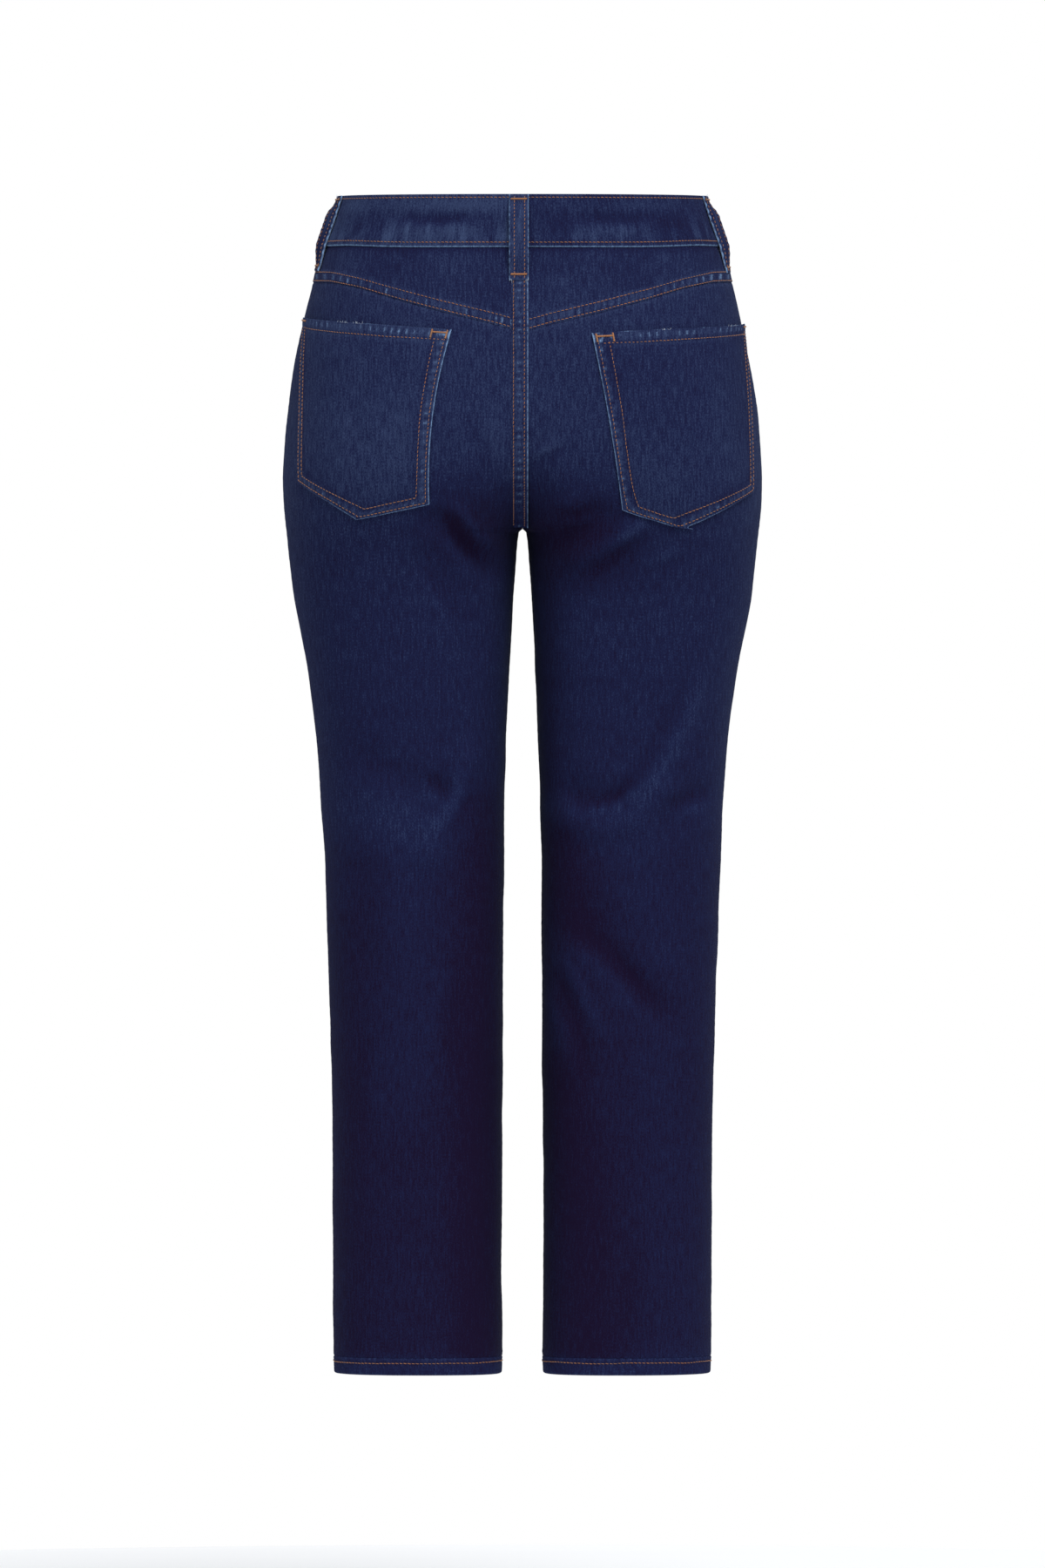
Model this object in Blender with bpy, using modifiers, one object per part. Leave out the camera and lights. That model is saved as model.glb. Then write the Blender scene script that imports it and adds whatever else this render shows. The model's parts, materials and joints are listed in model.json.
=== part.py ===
"""Boyfriend jeans, filled out as if worn, hollow, with the front facing -Y and the wearer's left at +X.

The cloth is one surface, worked out from level sections. Each half of the garment is a leg tube
whose inner limit moves past the centre plane above the crotch, so that plane cuts it open along
the curve of the rise. Every piece is a wall between two copies of that surface, moved out or in
by a named lift. Lengths are in millimetres until a mesh is made. The origin is the middle of the
waist, half way down the waistband.
"""

import math
from collections import namedtuple

import bpy
import numpy as np
from mathutils import Matrix, Vector

MM = 0.001
NAME = "boyfriend_jeans"

# Driving sizes
CLOTH = 1.3  # denim wall
SEAM_GAP = 0.3  # between two pieces, at seams and where one lies on another
BAND_TOP, BAND_FOOT = 20.0, -20.6  # levels of the waistband's edges
BAND_PROUD = 1.3  # the waistband stands this far out of the panels
BAND_SAG = 2.0  # its lower edge dips this much at the centre back
SAG_DEPTH, SAG_FOOT, SAG_TOP = (60.0, 105.0), (-60.0, -20.0), (-15.0, 15.0)  # where the dip fades
FRONT_DROP = 25.0  # the waist is this much lower at the centre front
DROP_DEPTH, DROP_LEVELS = (15.0, 100.0), (-190.0, -20.0)  # where that drop comes in
CROTCH = -248.0
HEM_TOP, HEM_FOOT = -914.4, -928.4
HEM_PROUD = 0.4
HEM_WALL = 3.0
SIDE_SEAM_FORWARD = 9.0  # round the leg, in front of the outermost line

# One row for each level of the body. half_width is the outer face of the cloth, inner the leg's
# inner limit (below zero, the centre plane cuts the tube), front and back the greatest depths from
# middle, and ridge_front and ridge_back the distances from the centre plane where they lie.
Section = namedtuple("Section", "level half_width inner front back middle ridge_front ridge_back")
SECTIONS = [
    Section(20.0, 147.0, -900.0, 105.0, 103.0, 0.0, 0.0, 0.0),
    Section(0.0, 153.3, -900.0, 107.5, 107.0, 0.0, 0.0, 1.0),
    Section(-20.6, 160.2, -900.0, 110.0, 112.0, 0.0, 0.0, 6.0),
    Section(-48.0, 168.7, -800.0, 113.0, 120.0, 0.0, 1.0, 16.0),
    Section(-81.5, 176.4, -600.0, 116.0, 129.0, 0.0, 8.0, 30.0),
    Section(-123.5, 184.8, -300.0, 118.0, 137.0, 0.0, 24.0, 48.0),
    Section(-165.5, 190.4, -120.0, 118.0, 139.5, 0.0, 44.0, 62.0),
    Section(-190.0, 191.9, -62.0, 116.5, 137.0, 0.0, 56.0, 70.0),
    Section(-207.5, 192.5, -33.0, 115.0, 133.0, 0.0, 64.0, 75.0),
    Section(-228.0, 192.2, -11.0, 112.5, 126.0, 0.0, 73.0, 80.5),
    Section(-240.0, 191.4, -2.8, 110.6, 121.0, -0.3, 77.5, 83.0),
    Section(CROTCH, 190.6, 0.15, 109.2, 117.5, -0.6, 80.0, 84.5),
    Section(-250.5, 190.3, 3.3, 108.8, 116.4, -0.7, 81.0, 85.0),
    Section(-276.0, 187.6, 5.6, 104.8, 106.6, -1.8, 87.5, 89.5),
    Section(-304.0, 184.1, 7.7, 101.0, 99.5, -3.0, 91.0, 92.0),
    Section(-360.0, 173.6, 10.5, 94.0, 91.0, -4.0, 91.5, 92.0),
    Section(-416.0, 165.9, 13.3, 87.0, 84.0, -5.0, 89.6, 89.6),
    Section(-472.0, 161.7, 14.7, 80.0, 78.0, -5.0, 88.2, 88.2),
    Section(-528.0, 158.9, 15.4, 74.5, 74.0, -3.0, 87.2, 87.2),
    Section(-612.0, 156.1, 16.1, 69.0, 70.0, 0.0, 86.1, 86.1),
    Section(-724.0, 153.3, 16.8, 64.0, 65.0, 3.0, 85.0, 85.0),
    Section(-836.0, 152.6, 17.1, 61.0, 62.0, 5.0, 84.9, 84.9),
    Section(-930.0, 151.9, 16.8, 59.0, 59.5, 6.0, 84.4, 84.4),
]
OUTER_ROUND = 2.3  # exponent of the sections' outer corners
INNER_ROUND_FRONT, INNER_ROUND_BACK = 2.2, 2.8
RING_POINTS = 160  # points of a fine section, before it is shared out by length
SPLIT_X = 0.5  # the panels' columns part at this share of the half width
SPLIT_SHARE = 7 / 12
BACK_COLUMNS = np.linspace(0, 1, 13)
FRONT_COLUMNS = np.concatenate([np.linspace(0, SPLIT_SHARE, 7), np.linspace(SPLIT_SHARE, 1, 6)[1:]])
LEG_ROWS = np.concatenate([  # levels of the leg panels' rows, close together at the crotch
    np.linspace(HEM_TOP + SEAM_GAP, -528.0, 12), np.linspace(-510.0, CROTCH - 3.0, 14),
    [CROTCH - 0.4, -243.0, -236.0, -227.0, -216.0, -203.0, -188.0, -170.0, -150.0],
])
SEAT_ROWS = 3  # above those, up to the yoke
MOUTH_ROWS = np.array([1.0, 0.985, 0.94, 0.86, 0.74, 0.58, 0.38, 0.18])  # shares of its depth

# The yoke's lower edge, as the share of the half width and the level.
YokeStation = namedtuple("YokeStation", "share level")
YOKE_SEAM = [
    YokeStation(0.0, -90.6), YokeStation(0.13, -84.3), YokeStation(0.36, -74.8),
    YokeStation(0.59, -64.2), YokeStation(0.75, -55.6), YokeStation(0.88, -50.6),
    YokeStation(1.0, -49.2),
]

# The largest folds. face is front or back, route the fold's line seen from that face as (x, level),
# reach the half width of its soft profile, and height is below zero for a trough.
Fold = namedtuple("Fold", "face reach height route")
FOLD_FACE = (12.0, 42.0)  # depth from the middle over which a face's folds come in
FOLD_CENTRE = (0.0, 12.0)  # and the same from the centre plane
FOLDS = [
    Fold("back", 10.0, -4.5, [(69, -242), (46, -262), (26, -280)]),
    Fold("back", 9.0, 2.5, [(56, -236), (34, -256)]),
    Fold("back", 13.0, -2.6, [(73, -275), (49, -307), (37, -342)]),
    Fold("back", 15.0, -3.2, [(122, -434), (90, -455), (60, -462)]),
    Fold("back", 14.0, 3.6, [(44, -434), (56, -478), (74, -508)]),
    Fold("back", 16.0, -2.4, [(129, -524), (129, -590)]),
    Fold("back", 9.0, 2.6, [(-10, -240), (-37, -228)]),
    Fold("back", 12.0, 4.2, [(-44, -270), (-86, -249)]),
    Fold("back", 11.0, -3.4, [(-36, -256), (-62, -238)]),
    Fold("back", 13.0, 3.8, [(-38, -481), (-64, -488), (-93, -480), (-114, -460)]),
    Fold("back", 13.0, -3.2, [(-44, -460), (-72, -464)]),
    Fold("back", 14.0, -3.0, [(-118, -480), (-140, -462)]),
    Fold("back", 17.0, -3.4, [(-58, -560), (-78, -600), (-110, -636)]),
    Fold("front", 11.0, -3.6, [(14, -216), (52, -190), (92, -178)]),
    Fold("front", 12.0, 2.8, [(24, -238), (66, -216)]),
    Fold("front", 13.0, -3.0, [(34, -268), (78, -258), (112, -268)]),
    Fold("front", 15.0, 3.2, [(46, -440), (84, -452), (124, -442)]),
    Fold("front", 16.0, -3.0, [(40, -478), (78, -492), (118, -520)]),
    Fold("front", 11.0, -3.4, [(-14, -212), (-48, -184), (-96, -164)]),
    Fold("front", 12.0, 2.6, [(-28, -244), (-74, -228)]),
    Fold("front", 14.0, -2.8, [(-30, -284), (-70, -300)]),
    Fold("front", 14.0, 3.0, [(-52, -462), (-96, -450), (-132, -464)]),
    Fold("front", 17.0, -2.8, [(-44, -500), (-92, -540), (-126, -566)]),
]

# Back pockets, as seen from behind: corners as (x, level), and how far each long side bows away
# from the centre half way down.
BackPocket = namedtuple("BackPocket", "name top_in top_out foot_in point foot_out bow_in bow_out")
BACK_POCKETS = [
    BackPocket("pocket_back_left", (56.5, -89.5), (173.8, -78.4), (74.4, -228.0),
               (132.3, -240.4), (178.6, -210.3), 6.2, 2.0),
    BackPocket("pocket_back_right", (-55.2, -92.2), (-176.4, -83.2), (-79.8, -232.2),
               (-140.7, -247.8), (-183.4, -218.0), 1.8, 2.6),
]
POCKET_WALL = 1.2
POCKET_CLEAR = 0.8  # off the panel, whose points lie on the same surface
POCKET_GRID = 14  # finer than the panel under it, so that no chord dips into the panel

# Front pocket mouth: a quarter ellipse from the waistband to the side seam.
MOUTH_INSET = 98.0  # round the waist from the side seam
MOUTH_DEPTH = 78.0
FACING_UNDER = 24.0  # the facing reaches this far behind the mouth
FACING_WALL = 1.2
FACING_CLEAR = 1.8  # it lies this far inside the panels, which are flat between their points
FACING_TUCK = 5.0  # and this far behind the waistband and the back panel

# Fly and button
FLY_LAP, FLY_WIDTH, FLY_FOOT = 6.0, 37.0, -160.0
FLY_WALL = 1.1
FLY_CLEAR = 0.7  # the flap and the zip's tape lie this far off the front panels
J_START, J_POWER = 0.62, 2.2  # share of the flap's length where its edge turns in, and how sharply
ZIP_HALF_WIDTH, ZIP_FOOT, ZIP_WALL = 14.0, -146.0, 1.1
ZIP_TOP = BAND_FOOT - 3.0
BAND_LAP = 8.0  # the upper end passes the centre front by this much
BAND_UNDERLAP = 26.0  # and the lower end reaches this far under it
LAP_RISE = BAND_PROUD + CLOTH + SEAM_GAP  # the upper end stands this much further out
LAP_RISE_START, LAP_RISE_END = 74.0, 34.0  # it climbs between these distances from the centre
BAND_SHARES = 36  # columns of half the waistband
BUTTON_RADIUS, BUTTON_HEIGHT, BUTTON_X = 8.5, 3.4, 2.0

# Belt loops. The middle of each is given round the waist, from the centre front or back or from
# the outermost line, then the level of its foot and how far it stands off the waistband.
BeltLoop = namedtuple("BeltLoop", "name side start round_waist foot stand_off")
LOOP_WIDTH, LOOP_WALL = 15.6, 1.9
LOOP_INSET = 0.8  # below the waistband's top edge
LOOP_TOP_BEND, LOOP_FOOT_BEND = 0.3, 0.36  # shares of its length over which each end comes in
LOOP_STEP = (BAND_FOOT - 7.0, BAND_FOOT - 2.0)  # it steps down off the waistband between these
BELT_LOOPS = [
    BeltLoop("belt_loop_back", 1.0, "centre_back", -2.9, -49.3, 5.4),
    BeltLoop("belt_loop_side_left", 1.0, "outermost", 25.0, -41.0, 4.4),
    BeltLoop("belt_loop_side_right", -1.0, "outermost", 25.0, -42.5, 4.4),
    BeltLoop("belt_loop_front_left", 1.0, "centre_front", 92.0, -42.0, 4.0),
    BeltLoop("belt_loop_front_right", -1.0, "centre_front", 92.0, -42.0, 4.0),
]

DENIM, DENIM_LIGHT = (0.019, 0.024, 0.072), (0.030, 0.038, 0.095)
BRASS = (0.45, 0.30, 0.15)


# ---------------------------------------------------------------- the surface

def column(name, level):
    """A column of SECTIONS at any level: a monotone cubic through its rows."""
    rows = sorted(SECTIONS)
    knots = np.array([row.level for row in rows])
    values = np.array([getattr(row, name) for row in rows])
    slope = np.diff(values) / np.diff(knots)
    before, after = slope[:-1], slope[1:]
    same_way = before * after > 0
    inner = np.where(same_way, 2 * before * after / np.where(same_way, before + after, 1), 0)
    tangent = np.concatenate([slope[:1], inner, slope[-1:]])
    level = np.clip(level, knots[0], knots[-1])
    i = np.clip(np.searchsorted(knots, level) - 1, 0, len(knots) - 2)
    width = knots[i + 1] - knots[i]
    t = (level - knots[i]) / width
    return (
        (1 + 2 * t) * (1 - t) ** 2 * values[i]
        + t * (1 - t) ** 2 * width * tangent[i]
        + t * t * (3 - 2 * t) * values[i + 1]
        + t * t * (t - 1) * width * tangent[i + 1]
    )


def smooth(t):
    """0 below 0, 1 above 1, and an S curve between."""
    t = np.clip(t, 0, 1)
    return t * t * (3 - 2 * t)


def ramp(value, start, end):
    """Climbs from 0 at start to 1 at end."""
    return smooth((value - start) / (end - start))


def fine_ring(level):
    """Half sections at these levels, from the front end round the side to the back end.

    Returns x, y and the distance along each section, one row for each level, and the distance of
    the outermost point. The outer quarter is a superellipse from the ridge to the half width, and
    the inner one a superellipse from the ridge to the inner limit, cut off at the centre plane."""
    level = np.asarray(level, float)[:, None]
    wide, inner, middle = (column(c, level) for c in ("half_width", "inner", "middle"))
    start = np.maximum(inner, 0)
    turn = np.linspace(0, math.pi / 2, RING_POINTS // 4)[None, :]
    quarters = []
    for face, round_in in (("front", INNER_ROUND_FRONT), ("back", INNER_ROUND_BACK)):
        ridge, depth = column("ridge_" + face, level), column(face, level)
        out_x = ridge + (wide - ridge) * np.sin(turn) ** (2 / OUTER_ROUND)
        out_y = depth * np.cos(turn) ** (2 / OUTER_ROUND)
        reach = np.maximum(ridge - inner, 1e-6)
        cut = np.arcsin(np.clip((ridge - start) / reach, 0, 1) ** (round_in / 2))
        in_turn = cut * np.linspace(1, 0, RING_POINTS // 4)[None, :]
        in_x = ridge - reach * np.sin(in_turn) ** (2 / round_in)
        in_y = depth * np.clip(np.cos(in_turn), 0, 1) ** (2 / round_in)
        quarters.append((np.hstack([in_x[:, :-1], out_x]), np.hstack([in_y[:, :-1], out_y])))
    (front_x, front_y), (back_x, back_y) = quarters
    x = np.hstack([front_x, back_x[:, -2::-1]])
    y = np.hstack([middle - front_y, middle + back_y[:, -2::-1]])
    steps = np.hypot(np.diff(x, axis=1), np.diff(y, axis=1))
    along = np.hstack([np.zeros_like(level), np.cumsum(steps, axis=1)])
    return x, y, along, along[:, front_x.shape[1] - 1]


def by_rows(wanted, keys, values):
    """Interpolates each row of values, whose keys rise, at that row of wanted."""
    span = keys.max() + abs(wanted).max() + 1.0
    offset = np.arange(len(keys))[:, None] * 2 * span
    return np.interp(wanted + offset, (keys + offset).ravel(), values.ravel())


def side_seam(level):
    """Distance of the side seam along the half section, and the section's whole length."""
    _, _, along, outermost = fine_ring(level)
    return outermost - SIDE_SEAM_FORWARD, along[:, -1]


def bare_point(distance, level):
    """The smooth surface: points at these distances along the half sections at these levels."""
    shape = distance.shape
    x, y, along, _ = fine_ring(level.ravel())
    wanted = np.clip(distance.reshape(-1, 1), 0, along[:, -1:])
    px, py = (by_rows(wanted, along, values).reshape(shape) for values in (x, y))
    drop = FRONT_DROP * ramp(-py, *DROP_DEPTH) * ramp(level, *DROP_LEVELS)
    sag = BAND_SAG * ramp(py, *SAG_DEPTH) * ramp(level, *SAG_FOOT) * (1 - ramp(level, *SAG_TOP))
    return np.stack([px, py, level - drop - sag], axis=-1)


def fold_height(points, side):
    """How far the folds lift these points of one side (+1 left, -1 right) off the smooth surface."""
    x, y, level = side * points[..., 0], points[..., 1], points[..., 2]
    middle = column("middle", level)
    total = np.zeros_like(x)
    for fold in FOLDS:
        if side * fold.route[0][0] < 0:
            continue
        toward = 1 if fold.face == "back" else -1
        on_face = ramp(toward * (y - middle), *FOLD_FACE)
        nearest = np.full_like(x, np.inf)
        for (ax, az), (bx, bz) in zip(fold.route, fold.route[1:]):
            run, rise = bx - ax, bz - az
            t = np.clip(((x - ax) * run + (level - az) * rise) / (run**2 + rise**2), 0, 1)
            nearest = np.minimum(nearest, np.hypot(x - ax - t * run, level - az - t * rise))
        total += fold.height * np.exp(-((nearest / fold.reach) ** 2)) * on_face
    return total * ramp(np.abs(x), *FOLD_CENTRE)


def surface(distance, level, side):
    """Points of the outer face of the cloth and the directions out of it, before any lift."""
    step = 0.6
    here = bare_point(distance, level)
    along = bare_point(distance + step, level) - bare_point(distance - step, level)
    up = bare_point(distance, level + step) - bare_point(distance, level - step)
    out = np.cross(along, up)
    out /= np.linalg.norm(out, axis=-1, keepdims=True)
    here = here + out * fold_height(here, side)[..., None]
    return here, out


def lifted(distance, level, side, lift):
    """The surface moved out by lift, on the left (+1) or right (-1) half, kept off the centre plane."""
    here, out = surface(distance, level, side)
    moved = here + out * np.broadcast_to(lift, distance.shape)[..., None]
    moved[..., 0] = np.maximum(moved[..., 0], SEAM_GAP / 2)
    moved[..., 0] *= side
    return moved


def distance_at(x, level, face):
    """Distance along the half section where it passes x, on the front or back face."""
    ring_x, _, along, outermost = fine_ring(level.ravel())
    peak = np.argmin(np.abs(along - outermost[:, None]), axis=1)[0]
    wanted = np.abs(x).reshape(-1, 1)
    if face == "front":
        return by_rows(wanted, ring_x[:, : peak + 1], along[:, : peak + 1]).reshape(x.shape)
    turned_x, turned = ring_x[:, : peak - 1 : -1], along[:, : peak - 1 : -1]
    return by_rows(wanted, turned_x, turned).reshape(x.shape)


def lifted_at(x, level, face, lift):
    """Like lifted, for a grid given by x, which may cross the centre plane."""
    side = np.where(x < 0, -1.0, 1.0)
    distance = distance_at(x, level, face)
    points = np.empty(x.shape + (3,))
    for one in (1.0, -1.0):
        here, out = surface(distance, level, one)
        moved = here + out * np.broadcast_to(lift, x.shape)[..., None]
        moved[..., 0] *= one
        points[side == one] = moved[side == one]
    return points


# ---------------------------------------------------------------- meshes

def material(name, colour, roughness=0.85, metallic=0.0):
    made = bpy.data.materials.new(name)
    made.use_nodes = True
    shader = made.node_tree.nodes["Principled BSDF"]
    shader.inputs["Base Color"].default_value = (*colour, 1)
    shader.inputs["Roughness"].default_value = roughness
    shader.inputs["Metallic"].default_value = metallic
    return made


def add_object(name, mesh, colour, roughness=0.85, metallic=0.0):
    mesh.materials.append(material(name + "_finish", colour, roughness, metallic))
    made = bpy.data.objects.new(name, mesh)
    bpy.data.collections[NAME].objects.link(made)
    return made


def wall(name, outer, inner, colour, closed=False):
    """A cloth wall lofted between an outer and an inner grid of points, rows by columns.

    The sections are unlike at every row, so the faces join the grids directly. closed joins the
    last column to the first, for a tube."""
    rows, columns = outer.shape[:2]
    points = np.concatenate([outer.reshape(-1, 3), inner.reshape(-1, 3)]) * MM
    number = np.arange(rows * columns).reshape(rows, columns)
    if closed:
        number = np.hstack([number, number[:, :1]])
    face = np.stack([number[:-1, :-1], number[:-1, 1:], number[1:, 1:], number[1:, :-1]], axis=-1)
    back = face[..., ::-1] + rows * columns

    def rim(edge):
        return np.stack([edge[1:], edge[:-1], edge[:-1] + rows * columns,
                         edge[1:] + rows * columns], axis=-1)

    rims = [rim(number[0]), rim(number[-1, ::-1])]
    if not closed:
        rims += [rim(number[::-1, 0]), rim(number[:, -1])]
    quads = np.concatenate([face.reshape(-1, 4), back.reshape(-1, 4), *rims])
    mesh = bpy.data.meshes.new(name)
    mesh.from_pydata(points.tolist(), [], quads.tolist())
    volume = sum(f.area * f.normal.dot(f.center) for f in mesh.polygons)
    if volume < 0:
        mesh.flip_normals()
    mesh.shade_smooth()
    mesh.set_sharp_from_angle(angle=math.radians(40))
    return add_object(name, mesh, colour)


def half_wall(name, distance, level, side, lift_out, lift_in, colour=DENIM):
    """A wall on one half, from its grid of distances and levels and its two lifts."""
    return wall(name, lifted(distance, level, side, lift_out),
                lifted(distance, level, side, lift_in), colour)


def spread(low, high, share):
    """Values from low to high, one row for each of them and one column for each share."""
    return low[:, None] + (high - low)[:, None] * share[None, :]


# ---------------------------------------------------------------- pieces

def body_levels(top):
    """Levels of a back leg's rows, hem to yoke, with one column for each level of its top edge."""
    upper = np.linspace(0, 1, SEAT_ROWS + 1)[1:, None]
    rising = LEG_ROWS[-1] + (top[None, :] - LEG_ROWS[-1]) * upper
    return np.vstack([np.repeat(LEG_ROWS[:, None], len(top), axis=1), rising])


def yoke_level(share):
    """Level of the yoke's lower edge at this share of the half width."""
    return np.interp(share, [s.share for s in YOKE_SEAM], [s.level for s in YOKE_SEAM])


def panel_distance(level, face, shares, inset=0.0):
    """Distances of a panel's columns at its grid of levels: share 0 at the side, 1 at the centre.

    Columns up to SPLIT_SHARE end at a line half way across, so that only the last ones are drawn
    together where the crotch curve cuts the sections short. inset moves the outer edge inwards."""
    flat = level.ravel()
    seam, whole = (values.reshape(level.shape) for values in side_seam(flat))
    split_x = SPLIT_X * column("half_width", flat).reshape(level.shape)
    split = distance_at(split_x, level, face)
    gap = SEAM_GAP / 2
    outer, inner = (seam + gap, whole - gap) if face == "back" else (seam - gap - inset, 0 * seam + gap)
    near = outer + (split - outer) * shares / SPLIT_SHARE
    far = split + (inner - split) * (shares - SPLIT_SHARE) / (1 - SPLIT_SHARE)
    return np.where(shares < SPLIT_SHARE, near, far)


def yoke_edge():
    """Level of the yoke's lower edge at each column of the back pieces."""
    level = np.full((1, len(BACK_COLUMNS)), -70.0)
    x = bare_point(panel_distance(level, "back", BACK_COLUMNS), level)[0, :, 0]
    return yoke_level(x / column("half_width", -70.0))


def back_panel(name, side):
    """A back leg, from the side seam to the centre and inner leg seams, hem to yoke."""
    level = body_levels(yoke_edge() - SEAM_GAP / 2)
    half_wall(name, panel_distance(level, "back", BACK_COLUMNS), level, side, 0.0, -CLOTH)


def yoke(name, side):
    """A back yoke, between the waistband and the back leg."""
    foot = yoke_edge() + SEAM_GAP / 2
    level = foot + (BAND_FOOT - SEAM_GAP - foot) * np.linspace(0, 1, 4)[:, None]
    half_wall(name, panel_distance(level, "back", BACK_COLUMNS), level, side, 0.0, -CLOTH)


def mouth_inset(level):
    """How far the pocket mouth lies in front of the side seam at this level."""
    down = np.clip((BAND_FOOT - level) / MOUTH_DEPTH, 0, 1)
    return MOUTH_INSET * np.sqrt(1 - down**2)


def front_panel(name, side):
    """A front leg, from the centre and inner leg seams to the side seam and the pocket mouth."""
    mouth = BAND_FOOT - MOUTH_DEPTH * MOUTH_ROWS
    between = 0.5 * (LEG_ROWS[-1] + mouth[0])
    rows = np.concatenate([LEG_ROWS, [between], mouth, [BAND_FOOT - SEAM_GAP]])[:, None]
    level = np.repeat(rows, len(FRONT_COLUMNS), axis=1)
    distance = panel_distance(level, "front", FRONT_COLUMNS, mouth_inset(level))
    half_wall(name, distance, level, side, 0.0, -CLOTH)


def front_facing(name, side):
    """The cloth seen in a front pocket's mouth, tucked behind the pieces round it."""
    rows = np.linspace(BAND_FOOT - MOUTH_DEPTH - FACING_UNDER, BAND_FOOT + FACING_TUCK, 9)
    seam, _ = side_seam(rows)
    reach = mouth_inset(np.minimum(rows, BAND_FOOT)) + FACING_UNDER
    distance = spread(seam - reach, seam + FACING_TUCK, np.linspace(0, 1, 9))
    level = np.repeat(rows[:, None], distance.shape[1], axis=1)
    outer = -CLOTH - FACING_CLEAR
    half_wall(name, distance, level, side, outer, outer - FACING_WALL)


def back_pocket(pocket):
    """A patch pocket on the back panel, five-sided, its points moved out of the panel's."""
    side = 1.0 if pocket.top_in[0] > 0 else -1.0
    feet = np.array([pocket.foot_in, pocket.point, pocket.foot_out], float)[:, :, None]
    reach = distance_at(feet[:, 0], feet[:, 1], "back")[:, 0]
    point_share = (reach[1] - reach[0]) / (reach[2] - reach[0])
    across = np.unique(np.concatenate([np.linspace(0, 1, POCKET_GRID), [point_share]]))
    down = np.linspace(0, 1, POCKET_GRID)[:, None]
    top = np.interp(across, [0, 1], [pocket.top_in[1], pocket.top_out[1]])
    foot = np.interp(across, [0, point_share, 1], feet[:, 1, 0])
    level = top + (foot - top) * down
    inner, outer = (
        distance_at(abs(high[0]) + (abs(low[0]) - abs(high[0])) * down + bow * 4 * down * (1 - down),
                    level[:, edge], "back")
        for high, low, bow, edge in ((pocket.top_in, pocket.foot_in, pocket.bow_in, slice(0, 1)),
                                     (pocket.top_out, pocket.foot_out, pocket.bow_out, slice(-1, None)))
    )
    half_wall(pocket.name, inner + (outer - inner) * across, level, side,
              POCKET_CLEAR + POCKET_WALL, POCKET_CLEAR, DENIM_LIGHT)


def waistband():
    """One strip round the waist, with its upper end lapped over its lower end at the front."""
    level_rows = np.linspace(BAND_FOOT, BAND_TOP, 3)
    _, whole = side_seam(level_rows)
    # Shares run from the centre front round the right half, then back round the left half.
    shares = np.linspace(0, 1, BAND_SHARES + 1)
    under = BAND_UNDERLAP / whole.mean() * np.array([1.0, 0.66, 0.33])
    over = BAND_LAP / whole.mean() * np.array([0.0, 0.5, 1.0])
    stretches = [  # share of the half section, side, climbs over the lap
        (under, 1.0, False), (shares, -1.0, False), (shares[-2:0:-1], 1.0, True),
        (over, -1.0, True),
    ]
    outer, inner = [], []
    for share, side, climbs in stretches:
        distance = whole[:, None] * share[None, :]
        level = np.repeat(level_rows[:, None], len(share), axis=1)
        rise = LAP_RISE * ramp(distance, LAP_RISE_START, LAP_RISE_END) * climbs
        for grid, lift in ((outer, BAND_PROUD), (inner, -CLOTH)):
            here, out = surface(distance, level, side)
            here = here + out * (lift + rise)[..., None]
            here[..., 0] *= side
            grid.append(here)
    wall("waistband", np.concatenate(outer, axis=1), np.concatenate(inner, axis=1), DENIM)


def hem(name, side):
    """The turned hem, a thicker ring under the front and back panels."""
    rows = np.array([HEM_FOOT, (HEM_FOOT + HEM_TOP) / 2, HEM_TOP])
    _, _, along, _ = fine_ring(rows)
    distance = along[:, -1:] * np.linspace(0, 1, 25)[None, :-1]
    level = np.repeat(rows[:, None], 24, axis=1)
    outer = lifted(distance, level, side, HEM_PROUD)
    inner = lifted(distance, level, side, HEM_PROUD - HEM_WALL)
    wall(name, outer, inner, DENIM_LIGHT, closed=True)


def belt_loop(loop):
    """A strip that is tacked at both ends and stands off the waistband between them."""
    down = np.linspace(0, 1, 13)[:, None]
    top = BAND_TOP - LOOP_INSET
    level = np.repeat(top + (loop.foot - top) * down, 3, axis=1)
    across = np.linspace(-LOOP_WIDTH / 2, LOOP_WIDTH / 2, 3)[None, :]
    _, _, along, outermost = fine_ring(level[:, 0])
    start = {"centre_front": 0 * outermost, "outermost": outermost, "centre_back": along[:, -1]}
    distance = start[loop.start][:, None] + loop.round_waist + across
    rest = SEAM_GAP + BAND_PROUD * ramp(level, *LOOP_STEP)
    arch = smooth(down / LOOP_TOP_BEND) * smooth((1 - down) / LOOP_FOOT_BEND)
    lift = np.maximum(rest, (BAND_PROUD + loop.stand_off) * arch)
    grids = []
    for wanted in (lift + LOOP_WALL, lift):
        if loop.start == "centre_back":
            x = across - loop.round_waist + 0 * level
            grids.append(lifted_at(x, level, "back", wanted))
        else:
            grids.append(lifted(distance, level, loop.side, wanted))
    wall(loop.name, *grids, DENIM_LIGHT)


def fly():
    """The fly flap: it laps the centre front and ends in the J outline, lying on the panels."""
    top = BAND_FOOT - SEAM_GAP
    down = np.linspace(0, 1, 12)[:, None]
    level = top + (FLY_FOOT - top) * down
    turn = np.clip((down - J_START) / (1 - J_START), 0, 1)
    width = FLY_LAP + (FLY_WIDTH - FLY_LAP) * np.sqrt(np.clip(1 - turn**J_POWER, 0, 1))
    x = -FLY_LAP + (width + FLY_LAP) * np.linspace(0, 1, 6)[None, :]
    level = np.repeat(level, x.shape[1], axis=1)
    outer, inner = (lifted_at(x, level, "front", t) for t in (FLY_CLEAR + FLY_WALL, FLY_CLEAR))
    wall("fly", outer, inner, DENIM_LIGHT)


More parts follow.
